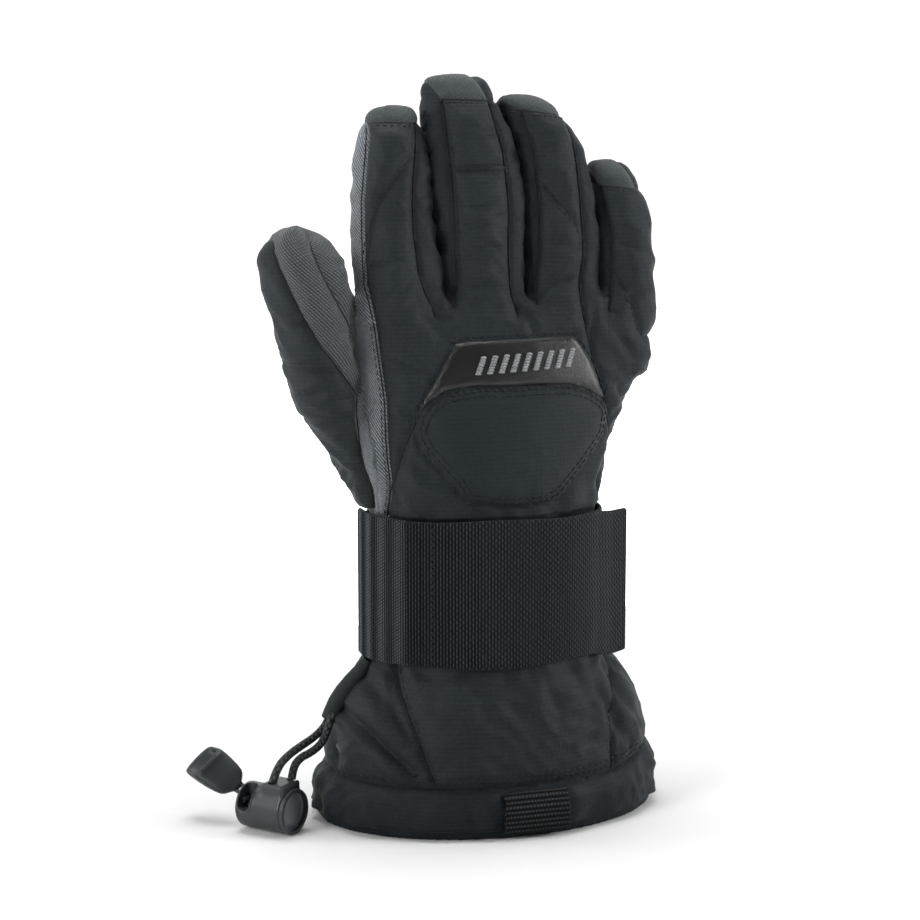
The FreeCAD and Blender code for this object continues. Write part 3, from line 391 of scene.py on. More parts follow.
class Tube:
    """stack of ellipses with smooth sides; below its first row it narrows into the hand"""

    def __init__(self, rows, down=0.0, pinch=0.7):
        r = np.array(rows, float)
        r[:, 1] += OX
        r[:, 2] += OY
        if down:
            s = (r[1, 1:3] - r[0, 1:3]) / (r[1, 0] - r[0, 0])
            low = np.array([r[0, 0] - down, *(r[0, 1:3] - s * down), r[0, 3] * pinch, r[0, 4] * pinch])
            r = np.vstack([low, r])
        self.z0, self.z1 = r[0, 0], r[-1, 0]
        self.z = np.arange(self.z0, self.z1 + 0.2, 0.2)
        self.t = [pchip(r[:, 0], r[:, k], self.z) for k in (1, 2, 3, 4)]

    def at(self, z):
        return [np.interp(z, self.z, t) for t in self.t]

    def f(self, x, y, z):
        cx, cy, a, b = self.at(z)
        px, py = x - cx, y - cy
        k0 = np.sqrt((px / a) ** 2 + (py / b) ** 2)
        k1 = np.sqrt((px / a ** 2) ** 2 + (py / b ** 2) ** 2) + 1e-9
        d = k0 * (k0 - 1) / k1
        d = np.where(k0 < 0.15, -np.minimum(a, b), d)
        over = np.maximum(z - self.z1, 0) + np.maximum(self.z0 - z, 0)
        return np.where(over > 0, np.sqrt(np.maximum(d, 0) ** 2 + over ** 2) + np.minimum(d, 0) * 0, d)


hand = Tube(HAND)
index, middle, ring, little = Tube(INDEX, 16), Tube(MIDDLE, 16), Tube(RING, 16), Tube(LITTLE, 14)
thumb, gusset = Tube(THUMB, 8, 0.9), Tube(GUSSET)
for p, q in ((index, middle), (middle, ring), (ring, little)):
    z0, z1 = max(p.z0, q.z0), min(p.z1, q.z1)
    zs = np.arange(z0, z1, 0.2)
    (pc, _, pa, _), (qc, _, qa, _) = p.at(zs), q.at(zs)
    gap = (qc - qa) - (pc + pa)
    e = np.clip(gap - 0.9, 0, 7.0) / 2 * np.clip((z1 - 5.0 - zs) / 9.0, 0, 1)
    for t, sgn in ((p, 1), (q, -1)):
        ee = np.interp(t.z, zs, e, 0, 0)
        t.t[0] = t.t[0] + sgn * ee / 2
        t.t[2] = t.t[2] + ee / 2
PARTS = [("hand", hand), ("index", index), ("middle", middle), ("ring", ring), ("little", little), ("thumb", thumb), ("gusset", gusset)]


def smin(a, b, k):
    h = np.maximum(k - np.abs(a - b), 0) / k
    return np.minimum(a, b) - h * h * k * 0.25


def shell_field(x, y, z):
    h = hand.f(x, y, z)
    g = gusset.f(x, y, z)
    f = smin(h, g, 7.0)
    fi = smin(smin(index.f(x, y, z), middle.f(x, y, z), 0.8), smin(ring.f(x, y, z), little.f(x, y, z), 0.8), 0.8)
    f = smin(f, fi, 7.0)
    f = smin(f, thumb.f(x, y, z), 4.0)
    # the cuff is open below, 3.4 mm thick
    wall = 3.4 + 0 * z
    cav = np.maximum(h + wall, z - 62.0)
    f = np.maximum(f, -cav)
    return np.maximum(f, 0.6 - z)


def surface_nets(F, origin, h):
    nx, ny, nz = F.shape
    S = F < 0
    cnt = np.zeros((nx - 1, ny - 1, nz - 1), np.int8)
    for i in (0, 1):
        for j in (0, 1):
            for k in (0, 1):
                cnt += S[i:nx - 1 + i, j:ny - 1 + j, k:nz - 1 + k]
    act = (cnt > 0) & (cnt < 8)
    I, J, K = np.nonzero(act)
    idx = -np.ones(act.shape, np.int64)
    idx[I, J, K] = np.arange(len(I))
    corner = {(i, j, k): F[I + i, J + j, K + k] for i in (0, 1) for j in (0, 1) for k in (0, 1)}
    acc, n = np.zeros((len(I), 3)), np.zeros(len(I))
    for a in corner:
        for ax in range(3):
            if a[ax] == 1:
                continue
            b = list(a)
            b[ax] = 1
            fa, fb = corner[a], corner[tuple(b)]
            c = (fa < 0) != (fb < 0)
            t = np.where(c, fa / np.where(c, fa - fb, 1), 0)
            p = np.tile(np.array(a, float), (len(I), 1))
            p[:, ax] += t
            acc[c] += p[c]
            n[c] += 1
    V = acc / n[:, None] + np.stack([I, J, K], 1)
    V = origin + V * h
    quads = []
    for ax in range(3):
        a = [slice(None)] * 3
        b = [slice(None)] * 3
        a[ax], b[ax] = slice(0, -1), slice(1, None)
        ch = S[tuple(a)] != S[tuple(b)]
        e = np.argwhere(ch)
        o1, o2 = [k for k in range(3) if k != ax]
        e = e[(e[:, o1] > 0) & (e[:, o2] > 0) & (e[:, o1] < F.shape[o1] - 1) & (e[:, o2] < F.shape[o2] - 1)]
        inside = S[e[:, 0], e[:, 1], e[:, 2]]
        q = []
        for d1, d2 in ((-1, -1), (0, -1), (0, 0), (-1, 0)):
            c = e.copy()
            c[:, o1] += d1
            c[:, o2] += d2
            q.append(idx[c[:, 0], c[:, 1], c[:, 2]])
        q = np.stack(q, 1)
        flip = inside if ax != 1 else ~inside
        q[~flip] = q[~flip][:, ::-1]
        quads.append(q)
    return V, np.vstack(quads)


H = 1.3
lo, hi = np.array([-82.0, -50.0, -3.0]), np.array([80.0, 52.0, 276.0])
dims = np.ceil((hi - lo) / H).astype(int) + 1
gx = (lo[0] + H * np.arange(dims[0]))[:, None, None]
gy = (lo[1] + H * np.arange(dims[1]))[None, :, None]
gz = (lo[2] + H * np.arange(dims[2]))[None, None, :]
Fg = shell_field(gx, gy, gz) * np.ones(tuple(dims))
V, Q = surface_nets(Fg, lo, H)
del Fg


def grad(fun, V, e=0.25):
    g = np.empty_like(V)
    for k in range(3):
        d = np.zeros(3)
        d[k] = e
        p, m = V + d, V - d
        g[:, k] = (fun(p[:, 0], p[:, 1], p[:, 2]) - fun(m[:, 0], m[:, 1], m[:, 2])) / (2 * e)
    return g


for _ in range(2):
    g = grad(shell_field, V)
    L2 = (g ** 2).sum(1) + 1e-6
    step = np.clip(shell_field(V[:, 0], V[:, 1], V[:, 2]) / L2, -1.2, 1.2)
    V = V - g * step[:, None] * (np.minimum(1, 1.2 / (np.abs(step) * np.sqrt(L2) + 1e-9)))[:, None]

# quads to triangles over the shorter diagonal
d1 = ((V[Q[:, 0]] - V[Q[:, 2]]) ** 2).sum(1)
d2 = ((V[Q[:, 1]] - V[Q[:, 3]]) ** 2).sum(1)
s = d1 <= d2
TRI = np.vstack([Q[s][:, [0, 1, 2]], Q[s][:, [0, 2, 3]], Q[~s][:, [1, 2, 3]], Q[~s][:, [1, 3, 0]]])
SEAM = np.zeros(len(V))  # depth of the seam groove at a vertex


def part_of(P):
    d = np.stack([t.f(P[:, 0], P[:, 1], P[:, 2]) for _, t in PARTS], 1)
    d[:, 0] += np.where(P[:, 2] > 186, 4.0, 0)
    return d.argmin(1)


def centroids():
    return V[TRI].mean(1)


def split(gfun, region, depth=1.0, lo_t=0.12):
    """cuts the triangles of a region along gfun = 0 and marks the new line as a seam"""
    global V, TRI, SEAM
    C = centroids()
    mask = region(C)
    g = gfun(V)
    T3 = g[TRI]
    m = mask & (T3.min(1) < 0) & (T3.max(1) > 0)
    tri = TRI[m]
    if not len(tri):
        return
    E = np.vstack([tri[:, [0, 1]], tri[:, [1, 2]], tri[:, [2, 0]]])
    E.sort(1)
    E = np.unique(E, axis=0)
    ga, gb = g[E[:, 0]], g[E[:, 1]]
    ok = (ga < 0) != (gb < 0)
    E, ga, gb = E[ok], ga[ok], gb[ok]
    t = ga / (ga - gb)
    near_a, near_b = t < lo_t, t > 1 - lo_t
    # a crossing beside a vertex moves that vertex onto the line instead
    for near, col in ((near_a, 0), (near_b, 1)):
        vi = E[near, col]
        V[vi] = V[E[near, 0]] * (1 - t[near])[:, None] + V[E[near, 1]] * t[near][:, None]
        g[vi] = 0
        SEAM[vi] = np.maximum(SEAM[vi], depth)
    ga, gb = g[E[:, 0]], g[E[:, 1]]
    ok = ((ga < 0) & (gb > 0)) | ((ga > 0) & (gb < 0))
    E, ga, gb = E[ok], ga[ok], gb[ok]
    t = (ga / (ga - gb))[:, None]
    base = len(V)
    NV = V[E[:, 0]] * (1 - t) + V[E[:, 1]] * t
    V = np.vstack([V, NV])
    SEAM = np.concatenate([SEAM, np.full(len(NV), depth)])
    n = int(E.max()) + 1 if len(E) else 1
    big = 1 << 32
    keys = E[:, 0].astype(np.int64) * big + E[:, 1]
    order = np.argsort(keys)
    sk = keys[order]

    def find(a, b):
        k = np.minimum(a, b).astype(np.int64) * big + np.maximum(a, b)
        p = np.clip(np.searchsorted(sk, k), 0, len(sk) - 1)
        hit = sk[p] == k
        return np.where(hit, base + order[p], -1)

    if not len(sk):
        return
    e0 = find(TRI[:, 0], TRI[:, 1])
    e1 = find(TRI[:, 1], TRI[:, 2])
    e2 = find(TRI[:, 2], TRI[:, 0])
    cnt = (e0 >= 0).astype(int) + (e1 >= 0) + (e2 >= 0)
    out = [TRI[cnt == 0]]
    for k in range(3):
        es = (e0, e1, e2)
        a, b, c = TRI[:, k], TRI[:, (k + 1) % 3], TRI[:, (k + 2) % 3]
        ab, bc, ca = es[k], es[(k + 1) % 3], es[(k + 2) % 3]
        one = (cnt == 1) & (ab >= 0)
        out += [np.stack([a[one], ab[one], c[one]], 1), np.stack([ab[one], b[one], c[one]], 1)]
        two = (cnt == 2) & (ab >= 0) & (ca >= 0)
        out += [np.stack([a[two], ab[two], ca[two]], 1), np.stack([ab[two], b[two], c[two]], 1), np.stack([ab[two], c[two], ca[two]], 1)]
    three = cnt == 3
    out += [np.stack([e0[three], e1[three], e2[three]], 1), np.stack([TRI[three, 0], e0[three], e2[three]], 1),
            np.stack([TRI[three, 1], e1[three], e0[three]], 1), np.stack([TRI[three, 2], e2[three], e1[three]], 1)]
    TRI = np.vstack(out)


def along(pts):
    """x of a line that runs up the glove, given as (x, z) points"""
    p = np.array(sorted(pts, key=lambda q: q[1]), float)
    return lambda z: np.interp(z, p[:, 1], p[:, 0])


def across(pts):
    p = np.array(sorted(pts, key=lambda q: q[0]), float)
    return lambda x: np.interp(x, p[:, 0], p[:, 1])


# seam lines, (x, z) in the row frame, mm
L_INDEX_L = along([(-34.2, 256), (-36.47, 241.8), (-38.27, 227.65), (-38.7, 217), (-38.82, 206.4), (-38.4, 197.5), (-37.0, 188.6), (-35.66, 179.8), (-34.22, 165.6), (-33.65, 156.7), (-33.8, 142.5), (-33.34, 133.5), (-32.8, 128), (-32.75, 112)])
L_INDEX_R = along([(-16.5, 256), (-18.07, 245.3), (-19.81, 234.7), (-20.6, 227.6), (-20.9, 217), (-20.4, 208.2), (-19.7, 201.1), (-17.6, 194.9), (-15.2, 190), (-13.8, 184)])
L_MID_L = along([(-7.7, 266), (-7.26, 259.5), (-6.54, 248.8), (-5.7, 238.1), (-5.3, 229.1), (-5.1, 216.5), (-4.9, 205.7), (-4.7, 198.5), (-6.2, 191.2), (-8.5, 184)])
L_MID_R = along([(9.5, 268), (10.27, 264.1), (11.5, 259.4), (12.7, 253), (14.3, 246.9), (15.0, 241.5), (15.4, 234.3), (15.84, 227.1), (15.9, 219.9), (15.2, 212.8), (15.0, 205.5), (15.2, 198.3), (15.7, 191), (17.0, 184)])
L_RING_L = along([(22.6, 262), (23.5, 256.5), (25.1, 250.4), (26.5, 244.9), (27.3, 237.7), (27.8, 230.4), (28.0, 223.1), (27.9, 215.9), (27.2, 208.5), (26.3, 202.9), (25.4, 195.4), (25.0, 190.5), (24.6, 184)])
L_RING_R = along([(40.8, 256), (42.6, 250.3), (43.6, 243), (43.8, 235.8), (44.0, 228.5), (44.1, 221.3), (44.6, 214), (44.6, 206.6), (43.4, 202), (42.3, 197.7), (42.0, 190.4), (42.6, 184), (44.0, 176), (45.03, 169), (49.18, 154), (53.3, 143.8), (53.84, 135.7), (51.46, 130.4), (48.34, 123.5), (47.5, 112)])
L_LITTLE_L = along([(53.4, 233), (54.2, 226.2), (55.3, 220.8), (56.2, 216), (56.3, 209.8), (56.0, 204.3), (55.8, 200.6), (55.0, 192), (53.4, 184), (51.5, 176)])
L_THUMB = along([(-72.2, 216), (-72.73, 210), (-71.4, 204.6), (-69.56, 200.4), (-67.75, 195.9), (-65.42, 191), (-63.5, 187.1), (-60.5, 182.1), (-57.73, 177.4), (-54.16, 173.1), (-50.3, 168.2), (-46.8, 163.5), (-43.0, 158.5)])
L_THUMB2 = along([(-59.57, 216), (-59.62, 210.9), (-58.01, 205.7), (-55.26, 199.7), (-51.85, 193.9), (-48.56, 188.3), (-45, 182.8)])
L_STRIP_L = along([(-39.1, 190), (-40.5, 177.3), (-41.5, 165), (-43.4, 152), (-43.1, 142.6), (-41.2, 131.6), (-38.6, 123.9), (-36.4, 112)])
L_PAD_VL = along([(-23.87, 150), (-27.16, 142.9), (-29.79, 135.6), (-31.4, 130), (-32.6, 122), (-32.75, 112)])
L_CUFF_L = along([(-30.94, 60.8), (-31.39, 51.9), (-30.1, 44), (-27.7, 35.7), (-26.0, 28.9), (-23.77, 22), (-22.5, 17)])
L_TUNNEL = along([(-37.4, 62.4), (-41.56, 54.9), (-45.3, 48.9), (-48.2, 42.1), (-50.5, 36.9), (-52.3, 31), (-54, 17)])
L_CUFF_R = along([(51.81, 54), (51.0, 48), (49.4, 43.2), (46.73, 33.3), (46.2, 17)])
D_INDEX = along([(-19.0, 242.2), (-25.4, 237.6), (-29.3, 232), (-33.1, 226), (-34.9, 220.7), (-36.7, 213.6), (-37.8, 206.4), (-38.4, 197.5)])
D_RING = across([(27.6, 236), (28.43, 234.8), (31.97, 229.8), (35.9, 224.4), (40.85, 218.8), (44.3, 213)])
D_LITTLE = across([(55.3, 201.6), (58.19, 198.2), (60.53, 193.5), (62.62, 188), (64.2, 182.4), (66.0, 176)])
PATCH = [(-8.37, 176.4), (-4.0, 177.2), (7.1, 177.4), (22.4, 177.7), (34.4, 177.9), (37.4, 177.4), (39.3, 174.8), (42.4, 169.9), (45.3, 163.6), (48.0, 157.1), (48.9, 154.6), (45.2, 156.9), (39.8, 159.6), (33.5, 161.4), (21.2, 162.0), (9.5, 161.7), (-1.4, 161.9), (-8.6, 161.3), (-14.0, 160.0), (-19.3, 156.8), (-21.8, 154.0), (-23.6, 150.6), (-22.8, 153.6), (-19.1, 160), (-15.2, 165.9), (-11.5, 171.9)]
PAD = [(-24.2, 147.0), (-22.4, 152.6), (-19.3, 156.0), (-14.0, 159.2), (-8.6, 160.5), (-1.4, 161.1), (9.5, 160.9), (21.2, 161.2), (33.5, 160.6), (39.8, 158.8), (45.2, 156.1), (49.0, 153.2), (50.6, 150.0), (49.6, 145), (49.0, 141.9), (46.1, 138.2), (39.8, 132.0), (33.4, 126.2), (26.9, 120.6), (21.3, 119.1), (15.1, 118.6), (3.6, 119.2), (-6.5, 120.3), (-8.9, 122.5), (-12.3, 127.2), (-17.1, 133.2), (-21.8, 138.8), (-23.8, 143.0)]
Z_HEM = 18.6


def hem_z(x):
    return Z_HEM + 5.2 * np.clip((x - 40) / 34, 0, 1) ** 1.4 + 0.9 * np.clip((-x - 20) / 40, 0, 1)

CAP_L = {2: along([(-13.6, 273), (-10.5, 268), (-7.6, 263)]), 3: along([(13.0, 266.5), (18.2, 262.5), (23.3, 258.5)]), 4: along([(49.6, 241.5), (51.6, 236.5), (53.5, 231)])}
CAP_R = {2: along([(5.6, 273), (8.3, 268), (10.5, 263)]), 4: along([(62.6, 241), (65.6, 236), (67.6, 230.5)])}
CAPS = {1: (255.0, -0.02), 2: (263.2, -0.03), 3: (258.8, -0.12), 4: (230.9, -0.10), 5: (999, 0)}


def poly_dist(poly, x, z):
    """signed distance to a closed (x, z) outline, below zero inside"""
    p = np.array(poly, float)
    q = np.roll(p, -1, 0)
    best = np.full(x.shape, 1e9)
    wind = np.zeros(x.shape, bool)
    for (ax, az_), (bx, bz) in zip(p, q):
        ex, ez = bx - ax, bz - az_
        t = np.clip(((x - ax) * ex + (z - az_) * ez) / (ex * ex + ez * ez + 1e-12), 0, 1)
        best = np.minimum(best, (x - ax - t * ex) ** 2 + (z - az_ - t * ez) ** 2)
        c = ((az_ > z) != (bz > z)) & (x < (bx - ax) * (z - az_) / ((bz - az_) if bz != az_ else 1e-9) + ax)
        wind ^= c
    return np.where(wind, -1, 1) * np.sqrt(best)


def front(C, frac=0.35):
    """towards the back of the hand"""
    out = np.zeros(len(C), bool)
    k = part_of(C)
    for i, (_, t) in enumerate(PARTS):
        m = k == i
        cx, cy, a, b = t.at(C[m, 2])
        out[m] = C[m, 1] < cy + frac * b
    return out


def reg(parts, z0, z1, side=None, frac=0.35):
    ids = {n: i for i, (n, _) in enumerate(PARTS)}
    ids = [ids[p] for p in parts]

    def f(C):
        m = (C[:, 2] > z0) & (C[:, 2] < z1)
        k = part_of(C)
        m &= np.isin(k, ids)
        if side == "front":
            m &= front(C, frac)
        if side == "back":
            m &= ~front(C, frac)
        return m
    return f


def outer_only(fun):
    """leaves out the inside of the cuff"""
    def f(C):
        return fun(C) & (hand.f(C[:, 0], C[:, 1], C[:, 2]) > -2.2)
    return f


FINGERS = ["index", "middle", "ring", "little"]
# first the lines where the fingers' pieces part from the hand, without a groove
Z_FINGER, Z_LITTLE, Z_THUMB = 184.0, 177.0, 158.0
split(lambda P: P[:, 2] - Z_FINGER, lambda C: (C[:, 0] < 52.0), 0.0)
split(lambda P: P[:, 2] - Z_LITTLE, lambda C: (C[:, 0] > 50.0), 0.0)
split(lambda P: P[:, 2] - Z_THUMB, lambda C: (C[:, 0] < -42.0), 0.0)
# palm seam all round the fingers
for i, n in enumerate(FINGERS, 1):
    t = PARTS[i][1]

    def palm_line(P, t=t):
        cx, cy, a, b = t.at(P[:, 2])
        return P[:, 1] - (cy + 0.35 * b)
    split(palm_line, reg([n], Z_LITTLE if n == "little" else Z_FINGER, 400), 0.8)
    zc, sl = CAPS[i]
    xc = t.at(np.array([zc]))[0][0]
    split(lambda P, zc=zc, sl=sl, xc=xc: P[:, 2] - (zc + sl * (P[:, 0] - xc)), reg([n], 200, 400), 0.42)


def hand_palm(P):
    cx, cy, a, b = hand.at(P[:, 2])
    return P[:, 1] - (cy + 0.35 * b)


split(hand_palm, reg(["hand"], 110, 186), 0.8)


def thumb_palm(P):
    cx, cy, a, b = thumb.at(P[:, 2])
    cx2, cy2, a2, b2 = gusset.at(P[:, 2])
    w = np.clip((P[:, 2] - 156) / 8, 0, 1)
    return P[:, 1] - (w * (cy + 0.5 * b) + (1 - w) * (cy2 + 0.5 * b2))


split(thumb_palm, reg(["thumb", "gusset"], 117, 400), 0.7)
F_ = lambda parts, z0, z1: reg(parts, z0, z1, "front")
split(lambda P: P[:, 0] - L_INDEX_L(P[:, 2]), F_(["index", "hand"], 110, 254.6), 1.0)
split(lambda P: P[:, 0] - L_INDEX_R(P[:, 2]), F_(["index"], 184, 254.6), 1.0)
split(lambda P: P[:, 0] - L_MID_L(P[:, 2]), F_(["middle"], 184, 263.2), 1.0)
split(lambda P: P[:, 0] - L_MID_R(P[:, 2]), F_(["middle"], 184, 263.2), 1.0)
split(lambda P: P[:, 0] - L_RING_L(P[:, 2]), F_(["ring"], 184, 259), 1.0)
split(lambda P: P[:, 0] - L_RING_R(P[:, 2]), F_(["ring", "hand"], 112, 258), 1.0)
split(lambda P: P[:, 0] - L_LITTLE_L(P[:, 2]), F_(["little"], 177, 231), 1.0)
for _i, _n, _z in ((2, "middle", 262.8), (3, "ring", 258.4), (4, "little", 230.6)):
    split(lambda P: P[:, 0] - CAP_L[_i](P[:, 2]), F_([_n], _z, 274), 0.45)
    if _i in CAP_R:
        split(lambda P: P[:, 0] - CAP_R[_i](P[:, 2]), F_([_n], _z, 274), 0.45)
split(lambda P: P[:, 0] - D_INDEX(P[:, 2]), lambda C: F_(["index"], 198, 242.5)(C) & (C[:, 0] > L_INDEX_L(C[:, 2])) & (C[:, 0] < L_INDEX_R(C[:, 2])), 0.55)
split(lambda P: P[:, 2] - D_RING(P[:, 0]), lambda C: F_(["ring"], 208, 240)(C) & (C[:, 0] > L_RING_L(C[:, 2])) & (C[:, 0] < L_RING_R(C[:, 2])), 0.55)
split(lambda P: P[:, 2] - 238.8, lambda C: F_(["middle"], 230, 245)(C) & (C[:, 0] > L_MID_L(C[:, 2])) & (C[:, 0] < L_MID_R(C[:, 2])), 0.6)
split(lambda P: P[:, 2] - D_LITTLE(P[:, 0]), lambda C: F_(["little", "hand"], 176, 204)(C) & (C[:, 0] > L_LITTLE_L(C[:, 2])), 0.55)
split(lambda P: P[:, 0] - L_THUMB(P[:, 2]), lambda C: reg(["thumb", "gusset", "hand"], 158, 216, "front", 0.5)(C) & (C[:, 0] < -41), 0.9)
split(lambda P: P[:, 0] - L_THUMB2(P[:, 2]), reg(["thumb"], 180, 216, "front", 0.5), 0.7)
split(lambda P: P[:, 0] - L_STRIP_L(P[:, 2]), reg(["thumb", "gusset", "hand"], 112, 158, "front", 0.5), 1.0)
split(lambda P: poly_dist(PATCH, P[:, 0], P[:, 2]), reg(["hand"], 145, 182, "front", 0), 0.35)
split(lambda P: poly_dist(PAD, P[:, 0], P[:, 2]), reg(["hand"], 112, 165, "front", 0), 0.8)
split(lambda P: P[:, 0] - L_PAD_VL(P[:, 2]), reg(["hand"], 114, 149, "front", 0), 0.7)
split(lambda P: P[:, 2] - hem_z(P[:, 0]), outer_only(reg(["hand"], 10, 30)), 1.1)
split(lambda P: P[:, 0] - L_CUFF_L(P[:, 2]), outer_only(reg(["hand"], Z_HEM, 64, "front", 0)), 0.9)
split(lambda P: P[:, 0] - L_TUNNEL(P[:, 2]), outer_only(reg(["hand"], Z_HEM, 64, "front", 0.0)), 0.7)
split(lambda P: P[:, 0] - L_CUFF_R(P[:, 2]), outer_only(reg(["hand"], Z_HEM, 62, "front", 0)), 0.9)
print("shell", len(V), "points", len(TRI), "faces")

# vertex normals
def normals(V, T3):
    n = np.cross(V[T3[:, 1]] - V[T3[:, 0]], V[T3[:, 2]] - V[T3[:, 0]])
    out = np.zeros_like(V)
    for k in range(3):
        for a in range(3):
            out[:, a] += np.bincount(T3[:, k], n[:, a], len(V))
    return out / (np.linalg.norm(out, axis=1)[:, None] + 1e-12)


N = normals(V, TRI)
if (N * grad(shell_field, V)).sum() < 0:
    TRI = TRI[:, ::-1].copy()
    N = -N

# distance to the nearest seam
seam_ids = np.nonzero(SEAM > 0.3)[0]
kd = kdtree.KDTree(len(seam_ids))
for i, vi in enumerate(seam_ids):
    kd.insert(V[vi], i)
kd.balance()
DS, DD = np.full(len(V), 30.0), np.zeros(len(V))
for i in range(len(V)):
    co, j, d = kd.find(V[i])
    DS[i] = d
    DD[i] = SEAM[seam_ids[j]]

OUT = hand.f(V[:, 0], V[:, 1], V[:, 2]) > -2.0  # not the cuff's inside
rng = np.random.RandomState(11)


def ripples(P, lam, n, aniso=(1, 1, 1), seed=0):
    r = np.random.RandomState(seed)
    k = r.normal(size=(n, 3))
    k /= np.linalg.norm(k, axis=1)[:, None]
    k *= np.array(aniso)
    k *= (2 * math.pi / (lam * r.uniform(0.75, 1.35, n)))[:, None]
    ph = r.uniform(0, 6.28, n)
    return np.sin(P @ k.T + ph).sum(1) / math.sqrt(n)


# broad puff of the filling between the seams, then its loose cloth
puff = 1.15 * (1 - np.exp(-(DS / 7.0) ** 2))
w = ripples(V, 30, 7, seed=3) * 0.5
P2 = V + np.stack([ripples(V, 40, 5, seed=5), ripples(V, 40, 5, seed=6), ripples(V, 40, 5, seed=7)], 1) * 4.0
crumple = 1 - np.abs(ripples(P2, 17, 4, seed=8))
crumple2 = 1 - np.abs(ripples(P2, 9.5, 4, seed=9))
k = part_of(V)
soft = np.clip(DS / 5.0, 0, 1)
amp = np.full(len(V), 1.0)
amp[(k == 0) & (V[:, 2] > 112)] = 0.7
disp = puff + w * 0.6 * soft * amp + (crumple * 0.75 + crumple2 * 0.42) * soft * amp
groove = -DD * np.exp(-(DS / 0.9) ** 2) - 0.35 * DD * np.exp(-(DS / 2.6) ** 2)
for i in (1, 2, 3, 4):
    zc, sl = CAPS[i]
    disp = np.where((k == i) & (V[:, 2] > zc - 0.5), np.minimum(disp, 0.55) * 0.6, disp)
disp = disp + groove
# patch and pad stand up a little from the back panel
fr = (V[:, 1] < 0) & (k == 0)
dp = poly_dist(PATCH, V[:, 0], V[:, 2])
dq = poly_dist(PAD, V[:, 0], V[:, 2])
disp = np.where(fr & (dp < 0.05), 0.55 * np.clip(-dp / 0.7, 0, 1) + 0.35 * np.clip(-dp / 6, 0, 1) + 0.1 * w, disp)
disp = np.where(fr & (dq < 0.05), 1.5 * (1 - np.exp(-(dq / 5.0) ** 2)) + 0.5 - 0.6 * np.exp(-(dq / 0.8) ** 2) + 0.25 * w + 0.12 * crumple, disp)


def crease(p, q, depth, width, lift=0.5):
    """one fold in the cloth, from p to q in (x, z) on the side that faces the back of the hand"""
    (ax, az_), (bx, bz) = p, q
    ex, ez = bx - ax, bz - az_
    t = np.clip(((V[:, 0] - ax) * ex + (V[:, 2] - az_) * ez) / (ex * ex + ez * ez), 0, 1)
    d = np.sqrt((V[:, 0] - ax - t * ex) ** 2 + (V[:, 2] - az_ - t * ez) ** 2)
    fade = np.sin(np.pi * np.clip(t * 0.86 + 0.07, 0, 1)) ** 0.7
    side = np.sign((V[:, 0] - ax) * ez - (V[:, 2] - az_) * ex)
    val = (-depth * np.exp(-(d / width) ** 2) + lift * depth * np.exp(-((d - 2.1 * width) / (1.3 * width)) ** 2) * (0.6 + 0.4 * side)) * fade
    return np.where((N[:, 1] < 0.35) & OUT, val, 0)


CREASES = [
    ((-53, 47), (-29, 22), 1.3, 2.6), ((-47, 41), (-27, 20), 0.9, 2.0), ((-40, 55), (-30, 34), 0.9, 2.4),
    ((40, 51), (56, 24), 1.1, 2.8), ((46, 55), (62, 30), 0.8, 2.2), ((-10, 58), (0, 36), 0.5, 3.0),
    ((18, 59), (24, 38), 0.5, 3.0), ((30, 58), (40, 40), 0.6, 2.6),
    ((-66, 171), (-56, 169), 0.9, 1.6), ((-70, 187), (-64, 187), 0.8, 1.5), ((-62, 160), (-57, 160), 0.8, 1.4),
    ((-59, 151.5), (-54, 152), 0.7, 1.4), ((4, 251), (13, 251.3), 0.8, 1.5), ((27.5, 241), (31, 247), 0.7, 1.4),
    ((27.8, 194), (41.5, 202), 0.9, 1.7), ((-36, 190), (-22, 199), 0.8, 1.9), ((-37, 203), (-26, 207), 0.6, 1.6),
    ((-3, 196), (12, 201), 0.7, 1.8), ((0, 212), (13, 209), 0.5, 1.6), ((30, 212), (43, 207), 0.6, 1.6),
    ((56, 212), (66, 208), 0.7, 1.5), ((58, 190), (66, 193), 0.7, 1.6), ((-4, 224), (9, 227), 0.5, 1.6),
    ((-34, 230), (-23, 226), 0.5, 1.5), ((56, 176), (64, 168), 0.9, 2.2), ((54, 160), (61, 150), 0.8, 2.2),
    ((-20, 186), (-12, 178), 0.7, 2.0), ((19, 186), (22, 178), 0.7, 1.8), ((47, 186), (44, 176), 0.8, 1.8),
    ((-30, 172), (-18, 164), 0.5, 2.2), ((-31, 158), (-24, 150), 0.5, 2.0),
]
for p, q, dpt, wd in CREASES:
    disp = disp + 1.45 * crease(p, q, dpt, 0.85 * wd) * np.clip(DS / 2.0, 0, 1)

def hollow(x0, z0, wx, wz, depth):
    return np.where(OUT & (V[:, 1] < 30), -depth * np.exp(-((V[:, 0] - x0) / wx) ** 2 - ((V[:, 2] - z0) / wz) ** 2), 0)


low_z = (V[:, 2] < 60) & (k == 0)
disp = disp + np.where(low_z, hollow(-57, 31, 8.0, 11.0, 4.2) + hollow(-42, 30, 5.0, 10.0, 1.3), 0)
th_h = np.arctan2((V[:, 0] - OX) / 65, -(V[:, 1] - OY) / 45)
disp = disp + np.where(low_z & OUT & (V[:, 2] < hem_z(V[:, 0])), 0.7 * np.sin(th_h * 19 + 2.2 * np.sin(th_h * 4)) * np.clip(DS / 5, 0, 1) + 0.6, 0)

# strands of loose cloth just above and below the strap, where it is drawn in
zz = V[:, 2]
th = np.arctan2((V[:, 0] - OX) / 42, -(V[:, 1] - OY) / 32)
gather = np.exp(-((zz - 58) / 7.0) ** 2) + np.exp(-((zz - 119) / 6.0) ** 2)
disp = disp + np.where((k == 0) & OUT, gather * 0.5 * np.sin(th * 21 + 1.6 * np.sin(th * 5)) * np.clip(DS / 3, 0, 1), 0)
